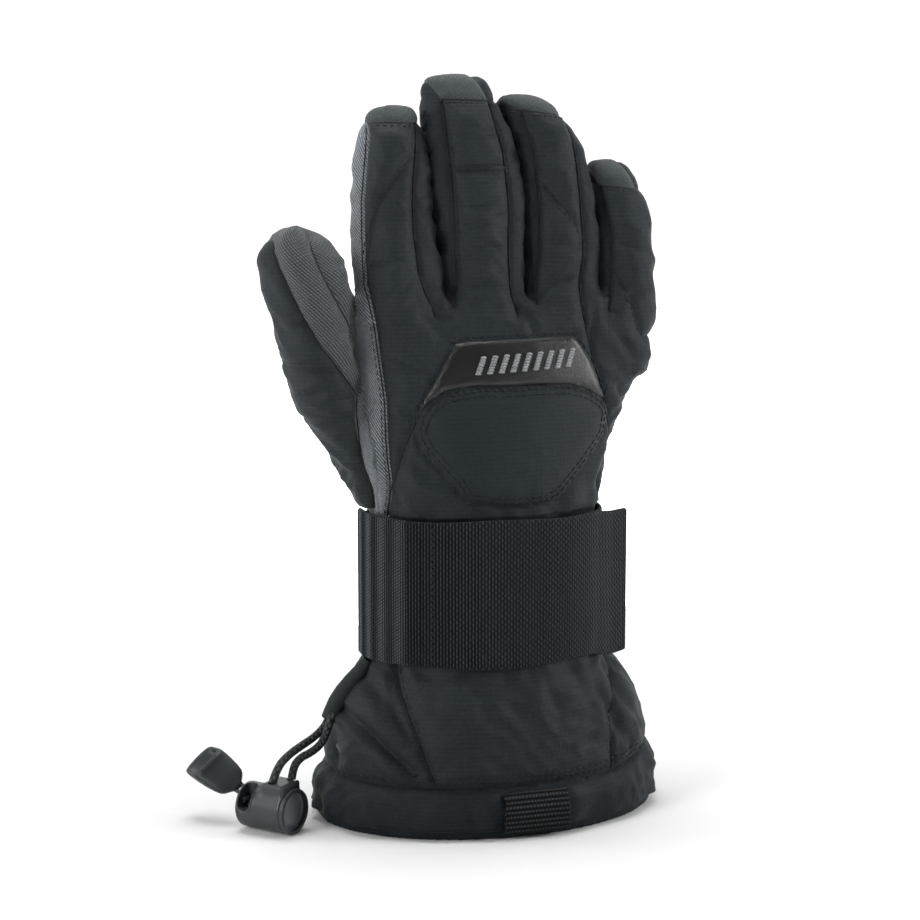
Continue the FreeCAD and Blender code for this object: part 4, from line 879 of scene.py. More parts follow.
# under the strap nothing may stand out
under = (zz > 62) & (zz < 114) & (k == 0)
disp = np.where(under, np.minimum(disp, 0.2) * 0.2 - 0.2, disp)
disp = np.where(OUT, disp, 0.25 * ripples(V, 14, 4, seed=4))
disp = np.where(zz < 3.0, np.minimum(disp, 0.4), disp)
V0 = V.copy()
V = V + N * disp[:, None]
V[:, 2] = np.maximum(V[:, 2], 0.0)
N = normals(V, TRI)

# ---------------------------------------------------------------- which panel each face belongs to
C = V0[TRI].mean(1)
kc = part_of(C)
x, y, z = C.T
inside = hand.f(x, y, z) <= -2.2
fr35 = front(C, 0.35)
fr50 = front(C, 0.5)
name = np.full(len(C), "glove_back_panel", dtype=object)
mat = np.full(len(C), "shell", dtype=object)


def put(m, n, mt):
    name[m] = n
    mat[m] = mt


hnd = kc == 0
gus = kc == 6
put(hnd & ~fr35, "glove_palm_panel", "palm")
put(hnd & fr35 & (x > L_RING_R(z)) & (z > 112), "glove_outer_side_panel", "side")
strip = hnd & fr35 & (x < L_INDEX_L(z)) & (z > 112)
put(strip, "glove_index_side_strip", "strip")
tb = (hnd | gus) & (z < Z_THUMB) & (z > 112) & (x < L_STRIP_L(z))
put(tb & fr50, "thumb_base_panel", "shell")
put(gus & ~fr50, "thumb_base_palm", "palm")
put(gus & fr50 & (x >= L_STRIP_L(z)), "glove_index_side_strip", "strip")
up = (gus | (hnd & (x < -42))) & (z >= Z_THUMB)
put(up, "thumb_front", "palm")
th_ = (kc == 5) & (z >= Z_THUMB)
put(th_, "thumb_front", "palm")
put((th_ | up) & fr50 & (x < L_THUMB(z)), "thumb_back_panel", "shell")
put((th_ | up) & fr50 & (x >= L_THUMB2(z)) & (z > 182), "thumb_side_panel", "palm")
put((th_ | up) & ~fr50, "thumb_palm_panel", "palm")
low = (kc == 5) & (z < Z_THUMB)
put(low & fr50, "thumb_base_panel", "shell")
put(low & ~fr50, "thumb_base_palm", "palm")
put(hnd & (z < 112), "gauntlet_shell", "shell")
put(hnd & (z < hem_z(x)), "hem_band", "side")
put(hnd & (y < 0) & (poly_dist(PATCH, x, z) < 0), "knuckle_patch_leather", "leather")
put(hnd & (y < 0) & (z < 165) & (poly_dist(PAD, x, z) < 0), "wrist_pad_cover", "pad")
put(inside & (z < 64), "gauntlet_fleece", "fleece")
left = {1: L_INDEX_L, 2: L_MID_L, 3: L_RING_L, 4: L_LITTLE_L}
right = {1: L_INDEX_R, 2: L_MID_R, 3: L_RING_R, 4: None}
for i, n in enumerate(FINGERS, 1):
    zb = Z_LITTLE if n == "little" else Z_FINGER
    m = kc == i
    zc, sl = CAPS[i]
    xc = PARTS[i][1].at(np.array([zc]))[0][0]
    cap = z > zc + sl * (x - xc)
    put(m, f"{n}_back_panel", "shell")
    put(m & fr35 & (x < left[i](z)), f"{n}_side_in", "strip" if i == 1 else "side")
    if right[i]:
        put(m & fr35 & (x > right[i](z)), f"{n}_side_out", "side")
    put(m & ~fr35, f"{n}_palm_panel", "palm")
    if i in CAP_L:
        cap &= ~(fr35 & (x < CAP_L[i](z)))
    if i in CAP_R:
        cap &= ~(fr35 & (x > CAP_R[i](z)))
    put(m & cap, f"{n}_tip_cap_cover", "cap")
    # the finger's lower end belongs to the hand
    lowf = m & (z < zb)
    put(lowf & fr35, "glove_back_panel", "shell")
    put(lowf & ~fr35, "glove_palm_panel", "palm")
    if i == 1:
        put(lowf & fr35 & (x < L_INDEX_L(z)), "glove_index_side_strip", "strip")
    if i == 4:
        put(lowf & fr35, "glove_outer_side_panel", "side")
    # faces of the hand above that line go with their nearest finger
hi_hand = hnd & (z >= Z_FINGER) & (x < 52)
d4 = np.stack([PARTS[i][1].f(x, y, z) for i in (1, 2, 3, 4)], 1).argmin(1) + 1
for i, n in enumerate(FINGERS, 1):
    m = (hi_hand | (hnd & (z >= Z_LITTLE) & (x >= 52))) & (d4 == i)
    zb = Z_LITTLE if n == "little" else Z_FINGER
    m &= z >= zb
    put(m & fr35, f"{n}_back_panel", "shell")
    put(m & fr35 & (x < left[i](z)), f"{n}_side_in", "strip" if i == 1 else "side")
    if right[i]:
        put(m & fr35 & (x > right[i](z)), f"{n}_side_out", "side")
    put(m & ~fr35, f"{n}_palm_panel", "palm")

# texture coordinates in metres: round the section and up the glove
cxs, cys, aa, bb = [np.zeros(len(V)) for _ in range(4)]
for i, (_, t) in enumerate(PARTS):
    m = k == i
    r = t.at(V0[m, 2])
    cxs[m], cys[m], aa[m], bb[m] = r
ang_f = np.arctan2((V0[:, 0] - cxs) / aa, -(V0[:, 1] - cys) / bb)
ang_b = np.arctan2((V0[:, 0] - cxs) / aa, (V0[:, 1] - cys) / bb)
rm = (aa + bb) / 2
rm = np.where(k == 0, 40.0, np.where(k >= 5, 13.5, 13.0))
UVF = np.stack([ang_f * rm, V0[:, 2]], 1) * MM
UVB = np.stack([ang_b * rm, V0[:, 2]], 1) * MM
UVX = np.stack([V0[:, 0], V0[:, 2]], 1) * MM


def mesh_piece(name, verts, faces, uv, m, nrm=None, smooth=True):
    me = bpy.data.meshes.new(name)
    me.vertices.add(len(verts))
    me.vertices.foreach_set("co", (np.asarray(verts) * MM).astype(np.float32).ravel())
    faces = np.asarray(faces)
    me.loops.add(faces.size)
    me.loops.foreach_set("vertex_index", faces.ravel().astype(np.int32))
    me.polygons.add(len(faces))
    w = faces.shape[1]
    me.polygons.foreach_set("loop_start", np.arange(0, faces.size, w, dtype=np.int32))
    me.update(calc_edges=True)
    if smooth:
        me.polygons.foreach_set("use_smooth", np.ones(len(faces), bool))
    if uv is not None:
        l = me.uv_layers.new(name="UVMap")
        l.data.foreach_set("uv", np.asarray(uv)[faces.ravel()].astype(np.float32).ravel())
    me.materials.append(MAT[m])
    me.validate()
    if nrm is not None:
        me.normals_split_custom_set_from_vertices([tuple(q) for q in nrm])
    o = bpy.data.objects.new(name, me)
    coll.objects.link(o)
    return o


PIECE = {}
for n in sorted(set(name)):
    m = name == n
    f = TRI[m]
    ids, inv = np.unique(f, return_inverse=True)
    f = inv.reshape(f.shape)
    mt = mat[m][0]
    back_side = "palm_panel" in n or n in ("thumb_base_palm",)
    uv = UVB[ids] if back_side else UVF[ids]
    if n in ("glove_back_panel", "wrist_pad_cover", "knuckle_patch_leather"):
        uv = UVX[ids]
    PIECE[n] = mesh_piece(n, V[ids], f, uv, mt, N[ids])
print("pieces", {n: len(o.data.polygons) for n, o in PIECE.items()})

REPL = {
    "glove_back_panel": ["back_panel", "hand_insulation", "hand_lining", "dorsal_splint", "palmar_splint"],
    "glove_palm_panel": ["palm_panel"], "glove_index_side_strip": ["index_side_strip"],
    "glove_outer_side_panel": ["outer_side_panel"], "thumb_base_panel": ["thumb_gusset"],
    "knuckle_patch_leather": ["knuckle_patch"], "wrist_pad_cover": ["wrist_pad"],
    "gauntlet_shell": ["gauntlet_back", "gauntlet_palm", "gauntlet_thumb_side", "gauntlet_outer_side", "cinch_cord"],
    "gauntlet_fleece": ["gauntlet_lining"], "hem_band": ["hem_binding"],
    "thumb_back_panel": ["thumb_back"], "thumb_palm_panel": ["thumb_palm"], "thumb_front": ["thumb_lining"],
}
for n in FINGERS:
    REPL[f"{n}_back_panel"] = [f"{n}_back", f"{n}_lining"]
    REPL[f"{n}_side_in"] = [f"{n}_side_panels"]
    REPL[f"{n}_palm_panel"] = [f"{n}_palm"]
    REPL[f"{n}_tip_cap_cover"] = [f"{n}_tip_cap"]
PIV = {"index": (-31.2, 186), "middle": (0, 186), "ring": (30.2, 186), "little": (56.3, 178)}
FOLLOW = {}
for n, o in PIECE.items():
    key = n.split("_")[0]
    if n in REPL:
        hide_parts(*REPL[n])
    FOLLOW[n] = key


def follow(o, key):
    if key in PIV:
        px, pz = PIV[key]
        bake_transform(o)
    elif key == "thumb_up":
        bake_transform(o)
    else:
        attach(o, key)


for n, o in PIECE.items():
    key = n.split("_")[0]
    if key in PIV:
        follow(o, key)
    elif n in ("thumb_back_panel", "thumb_front", "thumb_side_panel", "thumb_palm_panel"):
        follow(o, "thumb_up")
    else:
        follow(o, "glove")


# ---------------------------------------------------------------- the strap and the other bands
def arc(hx, hy, a0, a1, n, cx=1.0, cy=0.0):
    return [(cx + hx * math.cos(math.radians(a0 + (a1 - a0) * i / (n - 1))), cy + hy * math.sin(math.radians(a0 + (a1 - a0) * i / (n - 1)))) for i in range(n)]


def resample(pts, step):
    p = np.array(pts, float)
    for _ in range(3):  # corner cutting keeps the ends
        q = [p[0]]
        for a, b in zip(p[:-1], p[1:]):
            q += [a * 0.75 + b * 0.25, a * 0.25 + b * 0.75]
        q.append(p[-1])
        p = np.array(q)
    s = np.concatenate([[0], np.cumsum(np.linalg.norm(np.diff(p, axis=0), axis=1))])
    n = int(round(s[-1] / step)) + 1
    t = np.linspace(0, s[-1], n)
    return np.stack([np.interp(t, s, p[:, 0]), np.interp(t, s, p[:, 1])], 1), t


def band(name, pts, z0, z1, t, m, step=0.28, rows=14, rib=0.0, pitch=1.15, wave_z=0.0, body="glove", lines=(), zones=()):
    p, s = resample(pts, step)
    p = p + np.array([OX, OY])
    tan = np.gradient(p, axis=0)
    tan /= np.linalg.norm(tan, axis=1)[:, None]
    nrm = np.stack([tan[:, 1], -tan[:, 0]], 1)
    c = p.mean(0)
    if ((p - c) * nrm).sum() < 0:
        nrm = -nrm
    # rows over the height: closer at the two woven edges
    zr = np.concatenate([[0, 0.25, 0.6, 1.2], np.linspace(2.2, (z1 - z0) - 2.2, rows), [(z1 - z0) - 1.2, (z1 - z0) - 0.6, (z1 - z0) - 0.25, z1 - z0]])
    thick = np.ones(len(zr))
    thick[[0, -1]] = 0.45
    thick[[1, -2]] = 0.8
    verts, uv = [], []
    ribv = rib * (np.abs(np.sin(math.pi * s / pitch)) - 0.6)
    for side in (1, -1):
        for zi, th_k in zip(zr, thick):
            d = side * (t / 2) * th_k + (ribv * (1 if side > 0 else 0) * (th_k > 0.9))
            for at, dep, wid in lines:  # stitched lines across the band pull it in
                d = d - side * dep * np.exp(-((s - at) / wid) ** 2)
            wob = wave_z * np.sin(s / 9.0 + 0.7) * (zi / (z1 - z0) - 0.5) * 2
            q = p + nrm * d[:, None]
            verts.append(np.stack([q[:, 0], q[:, 1], np.full(len(p), z0 + zi) + wob], 1))
            uv.append(np.stack([s, np.full(len(p), zi)], 1) * MM)
    R_, n = len(zr), len(p)
    verts, uv = np.vstack(verts), np.vstack(uv)
    i, j = np.meshgrid(np.arange(R_ - 1), np.arange(n - 1), indexing="ij")
    a = (i * n + j).ravel()
    f1 = np.stack([a, a + 1, a + n + 1, a + n], 1)
    off = R_ * n
    f2 = np.stack([a + off, a + n + off, a + n + 1 + off, a + 1 + off], 1)
    jj = np.arange(n - 1)
    e1 = np.stack([jj, jj + off, jj + 1 + off, jj + 1], 1)
    top = (R_ - 1) * n
    e2 = np.stack([jj + top, jj + 1 + top, jj + 1 + off + top, jj + off + top], 1)
    ii = np.arange(R_ - 1) * n
    e3 = np.stack([ii, ii + n, ii + n + off, ii + off], 1)
    e4 = np.stack([ii + n - 1, ii + off + n - 1, ii + n + off + n - 1, ii + n + n - 1], 1)
    faces = np.vstack([f1, f2, e1, e2, e3, e4])
    N_ = normals(verts, np.vstack([faces[:, [0, 1, 2]], faces[:, [0, 2, 3]]]))
    if (N_[: R_ * n, :2].reshape(R_, n, 2) * nrm[None]).sum() < 0:
        faces = faces[:, ::-1]
    o = mesh_piece(name, verts, faces, uv, m)
    if zones:
        at = s[np.asarray(faces)[:, 0] % n]
        which = np.zeros(len(faces), np.int32)
        for q, (s0, s1, mm) in enumerate(zones, 1):
            o.data.materials.append(MAT[mm])
            which[(at >= s0) & (at < s1)] = q
        o.data.polygons.foreach_set("material_index", which)
    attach(o, body)
    return o, p, s, nrm


strap_pts = arc(47.0, 36.4, -187, -40, 48)
ex, ey = strap_pts[-1]
ux, uy = ex - strap_pts[-2][0], ey - strap_pts[-2][1]
a0 = math.atan2(uy, ux)
for i in range(10):
    a0 -= math.radians(0.8)
    ex, ey = ex + 1.9 * math.cos(a0), ey + 1.9 * math.sin(a0)
    strap_pts.append((ex, ey))
strap_len, _t = resample(strap_pts, 0.28)


def s_at(phi):
    q = np.array([1 + 47.0 * math.cos(math.radians(phi)), 36.4 * math.sin(math.radians(phi))])
    return _t[np.linalg.norm(strap_len - q, axis=1).argmin()]


S_TWILL, S_LINE = s_at(-142), s_at(-133)
# the strap's left end up to S_TWILL takes the twill webbing, with painted light in its colour
strap, SP, SS, SN = band("wrist_strap_webbing", strap_pts, 61.0, 114.6, 1.8, "web", rib=0.5, pitch=1.15, wave_z=0.45, body="wrist_strap",
                         lines=((S_LINE, 0.35, 0.6), (S_LINE + 4.0, 0.2, 0.6)), zones=((0, S_TWILL, "web_left_lit"), (_t[-1] - 3.2, 999, "web_end")))
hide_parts("wrist_strap")
hookp, *_ = band("strap_hook_pile", arc(45.65, 35.05, -92, -40, 40), 65.5, 110.1, 0.9, "touch", step=1.2, body="wrist_strap")
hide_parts("strap_hook_patch")
tail = np.array(strap_pts[-5:])
td = np.gradient(tail, axis=0)
td /= np.linalg.norm(td, axis=1)[:, None]
tn = np.stack([-td[:, 1], td[:, 0]], 1)
if (tn[0] * tail[0]).sum() > 0:
    tn = -tn
fold, *_ = band("strap_end_fold", [tuple(q) for q in tail + tn * 1.65], 61.3, 114.3, 1.4, "web_end", step=0.28, rib=0.2, pitch=1.15, body="wrist_strap")
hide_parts("strap_folded_end")
for o in (strap, fold):
    me = o.data
    co = np.zeros(len(me.vertices) * 3, np.float32)
    me.vertices.foreach_get("co", co)
    co = co.reshape(-1, 3)
    t = np.clip((co[:, 0] - 0.038) / 0.016, 0, 1)
    co[:, 2] -= 0.0026 * t * t * (3 - 2 * t) * (co[:, 1] < 0.012)
    me.vertices.foreach_set("co", co.ravel())
base, *_ = band("strap_base_webbing", arc(44.25, 33.65, -34, 176, 60), 65.5, 113.1, 1.3, "web", rib=0.2, pitch=1.15, body="glove")
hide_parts("strap_base_band")
loopp, *_ = band("strap_loop_pile", arc(44.25, 33.65, -98, -35.5, 40), 65.5, 110.1, 1.3, "touch", step=1.2, body="glove")
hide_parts("strap_loop_patch")

# cords
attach(cord_a, "glove")
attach(cord_b, "glove")
for o, node_name in ((cord_a, "drawcord_long"), (cord_b, "drawcord_short")):
    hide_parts(node_name)

# ---------------------------------------------------------------- painted shade lines in the seams, and stitches, laid on the shell
BVH = BVHTree.FromPolygons(V.tolist(), TRI.tolist())


def even(pts, step, closed=False):
    p = np.array(pts, float)
    if closed:
        p = np.vstack([p, p[:1]])
    d = np.concatenate([[0], np.cumsum(np.linalg.norm(np.diff(p, axis=0), axis=1))])
    n = max(2, int(round(d[-1] / step)) + 1)
    t = np.linspace(0, d[-1], n)
    return np.stack([np.interp(t, d, p[:, i]) for i in range(p.shape[1])], 1)


def shift(p, off):
    t = np.gradient(p, axis=0)
    t /= np.linalg.norm(t, axis=1)[:, None] + 1e-9
    return p + np.stack([t[:, 1], -t[:, 0]], 1) * off


def on_shell(p, side=-1):
    out = []
    for x_, z_ in p:
        hit = BVH.ray_cast(Vector((x_, 90 * side, z_)), Vector((0, -side, 0)))
        if hit[0] is None:
            out.append(None)
            continue
        out.append((np.array(hit[0]), np.array(hit[1])))
    return out


class Work:
    """gathers small tubes into one mesh"""

    def __init__(self):
        self.v, self.f, self.n = [], [], 0

    def tube(self, pts, nrm, radii, flat=1.0, sides=6):
        pts = np.asarray(pts, float)
        nrm = np.asarray(nrm, float)
        t = np.gradient(pts, axis=0)
        t /= np.linalg.norm(t, axis=1)[:, None] + 1e-9
        b = np.cross(t, nrm)
        b /= np.linalg.norm(b, axis=1)[:, None] + 1e-9
        u = np.cross(b, t)
        a = np.arange(sides) * 2 * math.pi / sides
        r = np.asarray(radii)[:, None, None]
        ring = pts[:, None, :] + r * (np.cos(a)[None, :, None] * b[:, None, :] + flat * np.sin(a)[None, :, None] * u[:, None, :])
        k = len(pts)
        base = self.n
        self.v.append(ring.reshape(-1, 3))
        for i in range(k - 1):
            for j in range(sides):
                q = base + i * sides
                self.f.append((q + j, q + (j + 1) % sides, q + sides + (j + 1) % sides, q + sides + j))
        for e, o_ in ((0, 1), (k - 1, 0)):
            q = base + e * sides
            idx = [q + j for j in range(sides)]
            if o_:
                idx = idx[::-1]
            self.f.append((idx[0], idx[1], idx[2], idx[3]))
            self.f.append((idx[0], idx[3], idx[4], idx[5]))
        self.n += k * sides

    def line(self, pts, r=0.3, lift=-0.12, side=-1, closed=False):
        """a near-black tube sunk in a seam's groove: painted shade of the seam crevice"""
        run, runs = [], []
        for h in on_shell(even(pts, 0.9, closed), side):
            if h is None or (run and np.linalg.norm(h[0] - run[-1][0]) > 3.0):
                if len(run) > 3:
                    runs.append(run)
                run = []
            if h is not None:
                run.append(h)
        if len(run) > 3:
            runs.append(run)
        for run in runs:
            q = np.array([h[0] + h[1] * lift for h in run])
            n_ = np.array([h[1] for h in run])
            rad = np.full(len(q), r)
            rad[[0, -1]] *= 0.3
            self.tube(q, n_, rad)

    def stitches(self, pts, off=0.0, pitch=2.7, length=1.9, r=0.24, side=-1, closed=False, lift=0.05):
        p = shift(even(pts, pitch, closed), off)
        d = np.gradient(p, axis=0)
        d /= np.linalg.norm(d, axis=1)[:, None] + 1e-9
        a, b = p - d * length / 2, p + d * length / 2
        for ha, hb in zip(on_shell(a, side), on_shell(b, side)):
            if ha is None or hb is None or not 0.3 * length < np.linalg.norm(ha[0] - hb[0]) < 1.8 * length:
                continue
            n_ = ha[1] + hb[1]
            n_ /= np.linalg.norm(n_) + 1e-9
            A, B = ha[0] + n_ * lift, hb[0] + n_ * lift
            q = [A - n_ * 0.2, A * 0.8 + B * 0.2 + n_ * 0.12, A * 0.2 + B * 0.8 + n_ * 0.12, B - n_ * 0.2]
            self.tube(q, [n_] * 4, [r * 0.55, r, r, r * 0.55])

    def done(self, name, m):
        v = np.vstack(self.v)
        f = np.array(self.f)
        o = mesh_piece(name, v, f, np.stack([v[:, 0], v[:, 2]], 1) * MM, m)
        return o


def rows(fx, z0, z1, n=60):
    zz_ = np.linspace(z0, z1, n)
    return np.stack([fx(zz_), zz_], 1)


def cols(fz, x0, x1, n=40):
    xx_ = np.linspace(x0, x1, n)
    return np.stack([xx_, fz(xx_)], 1)


SEWN = {}


def work(key):
    return SEWN.setdefault(key, Work())


def cap_line(i, a=-0.92, b=0.92):
    t = PARTS[i][1]
    zc, sl = CAPS[i]
    cx, cy, aa_, bb_ = [q[0] for q in t.at(np.array([zc]))]
    xx_ = np.linspace(cx + a * aa_, cx + b * aa_, 24)
    return np.stack([xx_, zc + sl * (xx_ - cx)], 1)


W_ = work("index")
W_.line(rows(L_INDEX_L, 184.5, 254))
W_.line(rows(L_INDEX_R, 184.5, 254))
W_.line([(-19.0, 242.2), (-25.4, 237.6), (-29.3, 232), (-33.1, 226), (-34.9, 220.7), (-36.7, 213.6), (-37.8, 206.4), (-38.4, 197.5)], 0.2)
W_.stitches([(-19.0, 242.2), (-25.4, 237.6), (-29.3, 232), (-33.1, 226), (-34.9, 220.7), (-36.7, 213.6), (-37.8, 206.4)], 1.0, r=0.18)
W_.line(cap_line(1), 0.28)
W_.stitches(cap_line(1), 1.1, 2.2, 1.5, 0.2)
W_ = work("middle")
W_.line(rows(L_MID_L, 184.5, 262))
W_.line(rows(L_MID_R, 184.5, 262))
W_.line([(-6.0, 238.8), (15.2, 238.8)], 0.2)
W_.stitches([(-6.0, 239.9), (15.2, 239.9)], 0, r=0.2)
W_.stitches([(-6.0, 237.4), (15.2, 237.4)], 0, r=0.2)
W_.line(cap_line(2), 0.28)
W_.stitches(cap_line(2), 1.1, 2.2, 1.5, 0.2)
W_ = work("ring")
W_.line(rows(L_RING_L, 184.5, 258))
W_.line(rows(L_RING_R, 184.5, 255))
W_.line(cols(D_RING, 28.0, 44.3), 0.2)
W_.stitches(cols(D_RING, 28.0, 44.0), 1.0, r=0.18)
W_.line(cap_line(3), 0.28)
W_.stitches(cap_line(3), 1.1, 2.2, 1.5, 0.2)
W_ = work("little")
W_.line(rows(L_LITTLE_L, 178, 230))
W_.line(cols(D_LITTLE, 55.8, 65.6), 0.2)
W_.stitches(cols(D_LITTLE, 55.8, 65.0), 1.0, r=0.18)
W_.line(cap_line(4), 0.28)
W_.stitches(cap_line(4), 1.1, 2.2, 1.5, 0.2)
W_ = work("thumb_up")
W_.line(rows(L_THUMB, 159, 214), 0.28)
W_.line(rows(L_THUMB2, 184, 214), 0.24)
W_ = work("glove")
W_.line(rows(L_INDEX_L, 115, 184.5), 0.32)
W_.line(rows(L_RING_R, 115, 184.5), 0.3)
W_.line(rows(L_STRIP_L, 114, 158), 0.3)
W_.line(rows(L_PAD_VL, 114, 149.5), 0.3)
W_.line(PATCH, 0.26, closed=True)
W_.stitches(PATCH, -1.2, closed=True)
W_.line(PAD, 0.24, closed=True)
W_.stitches(PAD, 1.15, closed=True)
W_.stitches(PAD, 2.9, closed=True)
W_.stitches(rows(L_INDEX_L, 116, 182), -1.2, r=0.16)
W_.line(rows(L_CUFF_L, 19, 60), 0.3)
W_.line(rows(L_CUFF_R, 19, 54), 0.3)
W_.line(rows(L_TUNNEL, 30, 60), 0.25)
W_.stitches(rows(L_CUFF_L, 20, 58), 1.3, r=0.2)
W_.stitches(rows(L_CUFF_R, 20, 50), -1.3, r=0.2)
hx = np.linspace(-61.0, 72.0, 90)
hem = np.stack([hx, hem_z(hx)], 1)
up_ = lambda d: np.stack([hx, hem_z(hx) + d], 1)
W_.line(hem, 0.3)
W_.stitches(up_(2.0), 0, 2.6, 1.9, 0.24)
W_.stitches(up_(4.2), 0, 2.6, 1.9, 0.24)
W_.line(hem, 0.3, side=1)
W_.stitches(up_(2.0), 0, 2.6, 1.9, 0.24, side=1)
# each stitching object holds real stitches and the tubes of painted shade in the seams
for key, w_ in SEWN.items():
    o = w_.done("stitching_" + key, "thread_and_seam_shade")
    follow(o, key)

# embroidered bars on the knuckle patch: a plain pattern
emb = Work()
for i in range(9):
    x0 = -2.5 + i * 4.35
    z0 = 166.0 + 0.33 * i * 0.6
    for q in range(7):
        a_ = (x0 + 0.42 * q, z0 + 0.92 * q)
        b_ = (x0 + 0.42 * q + 1.9, z0 + 0.92 * q)
        ha, hb = on_shell([a_, b_])
        if ha and hb:
            A, B, n_ = ha[0], hb[0], ha[1]
            emb.tube([A - n_ * 0.1, A * 0.8 + B * 0.2 + n_ * 0.32, A * 0.2 + B * 0.8 + n_ * 0.32, B - n_ * 0.1], [n_] * 4, [0.3, 0.5, 0.5, 0.3])
o = emb.done("knuckle_patch_embroidery", "embroidery")
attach(o, "glove")

# stitched lines across the strap
sw = Work()
for s_c in (S_LINE, S_LINE + 4.0, _t[-1] - 3.0):
    i_c = int(np.abs(SS - s_c).argmin())
    c_, n_c = SP[i_c], SN[i_c]
    for zq in np.arange(63, 113, 2.5):
        A = np.array([*(c_ + n_c * 0.75), zq])
        B = A + np.array([0, 0, 1.8])
        n_ = np.array([*n_c, 0])
        sw.tube([A - n_ * 0.2, A * 0.8 + B * 0.2 + n_ * 0.15, A * 0.2 + B * 0.8 + n_ * 0.15, B - n_ * 0.2], [n_] * 4, [0.15, 0.26, 0.26, 0.15])
o = sw.done("stitching_strap", "thread_and_seam_shade")
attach(o, "wrist_strap")

# webbing loop on the hem: one strip that goes down, round its end and back up, ribs across
lw, lt = 12.2, 1.25
path = [(-44.6, 19.2), (-46.4, 18.2), (-47.7, 15.0), (-48.3, 11.0), (-48.2, 7.6), (-47.5, 5.9), (-46.6, 5.7), (-46.3, 7.6), (-46.2, 11.0), (-45.6, 15.0)]
pp = even([(q[0], q[1] - 2.9) for q in path], 0.28)
tt = np.gradient(pp, axis=0)
tt /= np.linalg.norm(tt, axis=1)[:, None]
nn = np.stack([-tt[:, 1], tt[:, 0]], 1)
if nn[0, 0] > 0:
    nn = -nn
ss = np.arange(len(pp)) * 0.28
rib_ = 0.22 * np.abs(np.sin(math.pi * ss / 1.75))
xs_ = np.concatenate([[-lw, -lw + 0.3], np.linspace(-lw + 1.2, lw - 1.2, 12), [lw - 0.3, lw]])
ed = np.ones(len(xs_))
ed[[0, -1]] = 0.5
vv, uu = [], []
for sgn in (1, -1):
    for x_, e_ in zip(xs_, ed):
        q = pp + nn * (sgn * (lt / 2) * e_ + (rib_ if sgn > 0 else 0) * (e_ > 0.9))[:, None] if sgn > 0 else pp - nn * (lt / 2) * e_
        vv.append(np.stack([np.full(len(pp), 5.6 + OX + x_), q[:, 0] + OY, q[:, 1]], 1))
        uu.append(np.stack([ss, np.full(len(pp), x_)], 1) * MM)
nr, nc = len(xs_), len(pp)
vv, uu = np.vstack(vv), np.vstack(uu)
ff = []
for i in range(nr - 1):
    for j in range(nc - 1):
        a = i * nc + j
        ff.append((a, a + 1, a + nc + 1, a + nc))
        b = a + nr * nc
        ff.append((b, b + nc, b + nc + 1, b + 1))
for j in range(nc - 1):
    ff.append((j, j + nr * nc, j + 1 + nr * nc, j + 1))
    a = (nr - 1) * nc + j
    ff.append((a, a + 1, a + 1 + nr * nc, a + nr * nc))
ff = np.array(ff)
N_ = normals(vv, np.vstack([ff[:, [0, 1, 2]], ff[:, [0, 2, 3]]]))
if N_[nc * 6 + nc // 4, 1] > 0:
    ff = ff[:, ::-1]
loop_o = mesh_piece("hem_loop_webbing", vv, ff, uu, "loopweb")
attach(loop_o, "hem_loop")
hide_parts("hem_loop")

# ---------------------------------------------------------------- the lock's pull tab, moulded, hollow at its end
LD = Vector((0.6523, -0.7580, 0)).normalized()
AC = Vector((0.75798, 0.65228, 0)).normalized()
rise, roll = math.radians(25), math.radians(40)
LONG = Vector((-LD.x * math.cos(rise), -LD.y * math.cos(rise), math.sin(rise)))
UP2 = Vector((LD.x * math.sin(rise), LD.y * math.sin(rise), math.cos(rise)))
WID = AC * math.cos(roll) + UP2 * math.sin(roll)
NOR = LONG.cross(WID)
LOCK0 = Vector((-91.6593 + OX, 0.8074 + OY, 8.4))
BAR = LOCK0 + LD * 3.4 + Vector((0, 0, 2.6))


def tab_at(u, w, n):
    return BAR + LONG * u + WID * w + NOR * n


SEC = [(6.0, 2.0, 0.95), (6.9, 2.3, 1.05), (7.9, 3.6, 1.2), (8.9, 5.0, 1.35), (10.2, 5.9, 1.55), (12.5, 6.5, 1.8), (16.0, 7.0, 2.15), (20.0, 7.25, 2.5), (23.6, 7.25, 2.8), (25.1, 7.1, 2.95), (25.9, 6.8, 2.85), (26.15, 6.4, 2.6), (25.9, 6.0, 2.2), (24.8, 5.8, 2.05), (20.0, 5.4, 1.6), (15.0, 4.9, 1.1), (11.5, 4.3, 0.8)]
tv, tf = [], []
NS = 40
for u_, w_h, t_h in SEC:
    for q in range(NS):
        a = 2 * math.pi * q / NS
        c, s_ = math.cos(a), math.sin(a)
        ex_ = 2 / 4.6
        bow = 0.35 * (1 - (abs(c) ** ex_) ** 2) * (1 if s_ > 0 else -1) * min(1, (u_ - 6) / 8)
        n_h = t_h * math.copysign(abs(s_) ** ex_, s_) + bow
        slant = (1.25 * n_h - 1.3) * np.clip((u_ - 17) / 8, 0, 1)
        tv.append(tuple(tab_at(u_ + slant, w_h * math.copysign(abs(c) ** ex_, c), n_h)))
for i in range(len(SEC) - 1):
    for q in range(NS):
        tf.append((i * NS + q, i * NS + (q + 1) % NS, (i + 1) * NS + (q + 1) % NS, (i + 1) * NS + q))
for e in (0, len(SEC) - 1):
    c_i = len(tv)
    u_, w_h, t_h = SEC[e]
    tv.append(tuple(tab_at(u_, 0, 0)))
    for q in range(0, NS, 2):
        a_, b_, d_ = e * NS + q, e * NS + (q + 1) % NS, e * NS + (q + 2) % NS
        tf.append((c_i, d_, b_, a_) if e == 0 else (c_i, a_, b_, d_))
tv, tf = np.array(tv), np.array(tf)


def fix_out(v, f):
    t3 = np.vstack([f[:, [0, 1, 2]], f[:, [0, 2, 3]]])
    vol = (np.cross(v[t3[:, 0]], v[t3[:, 1]]) * v[t3[:, 2]]).sum()
    return f[:, ::-1] if vol < 0 else f


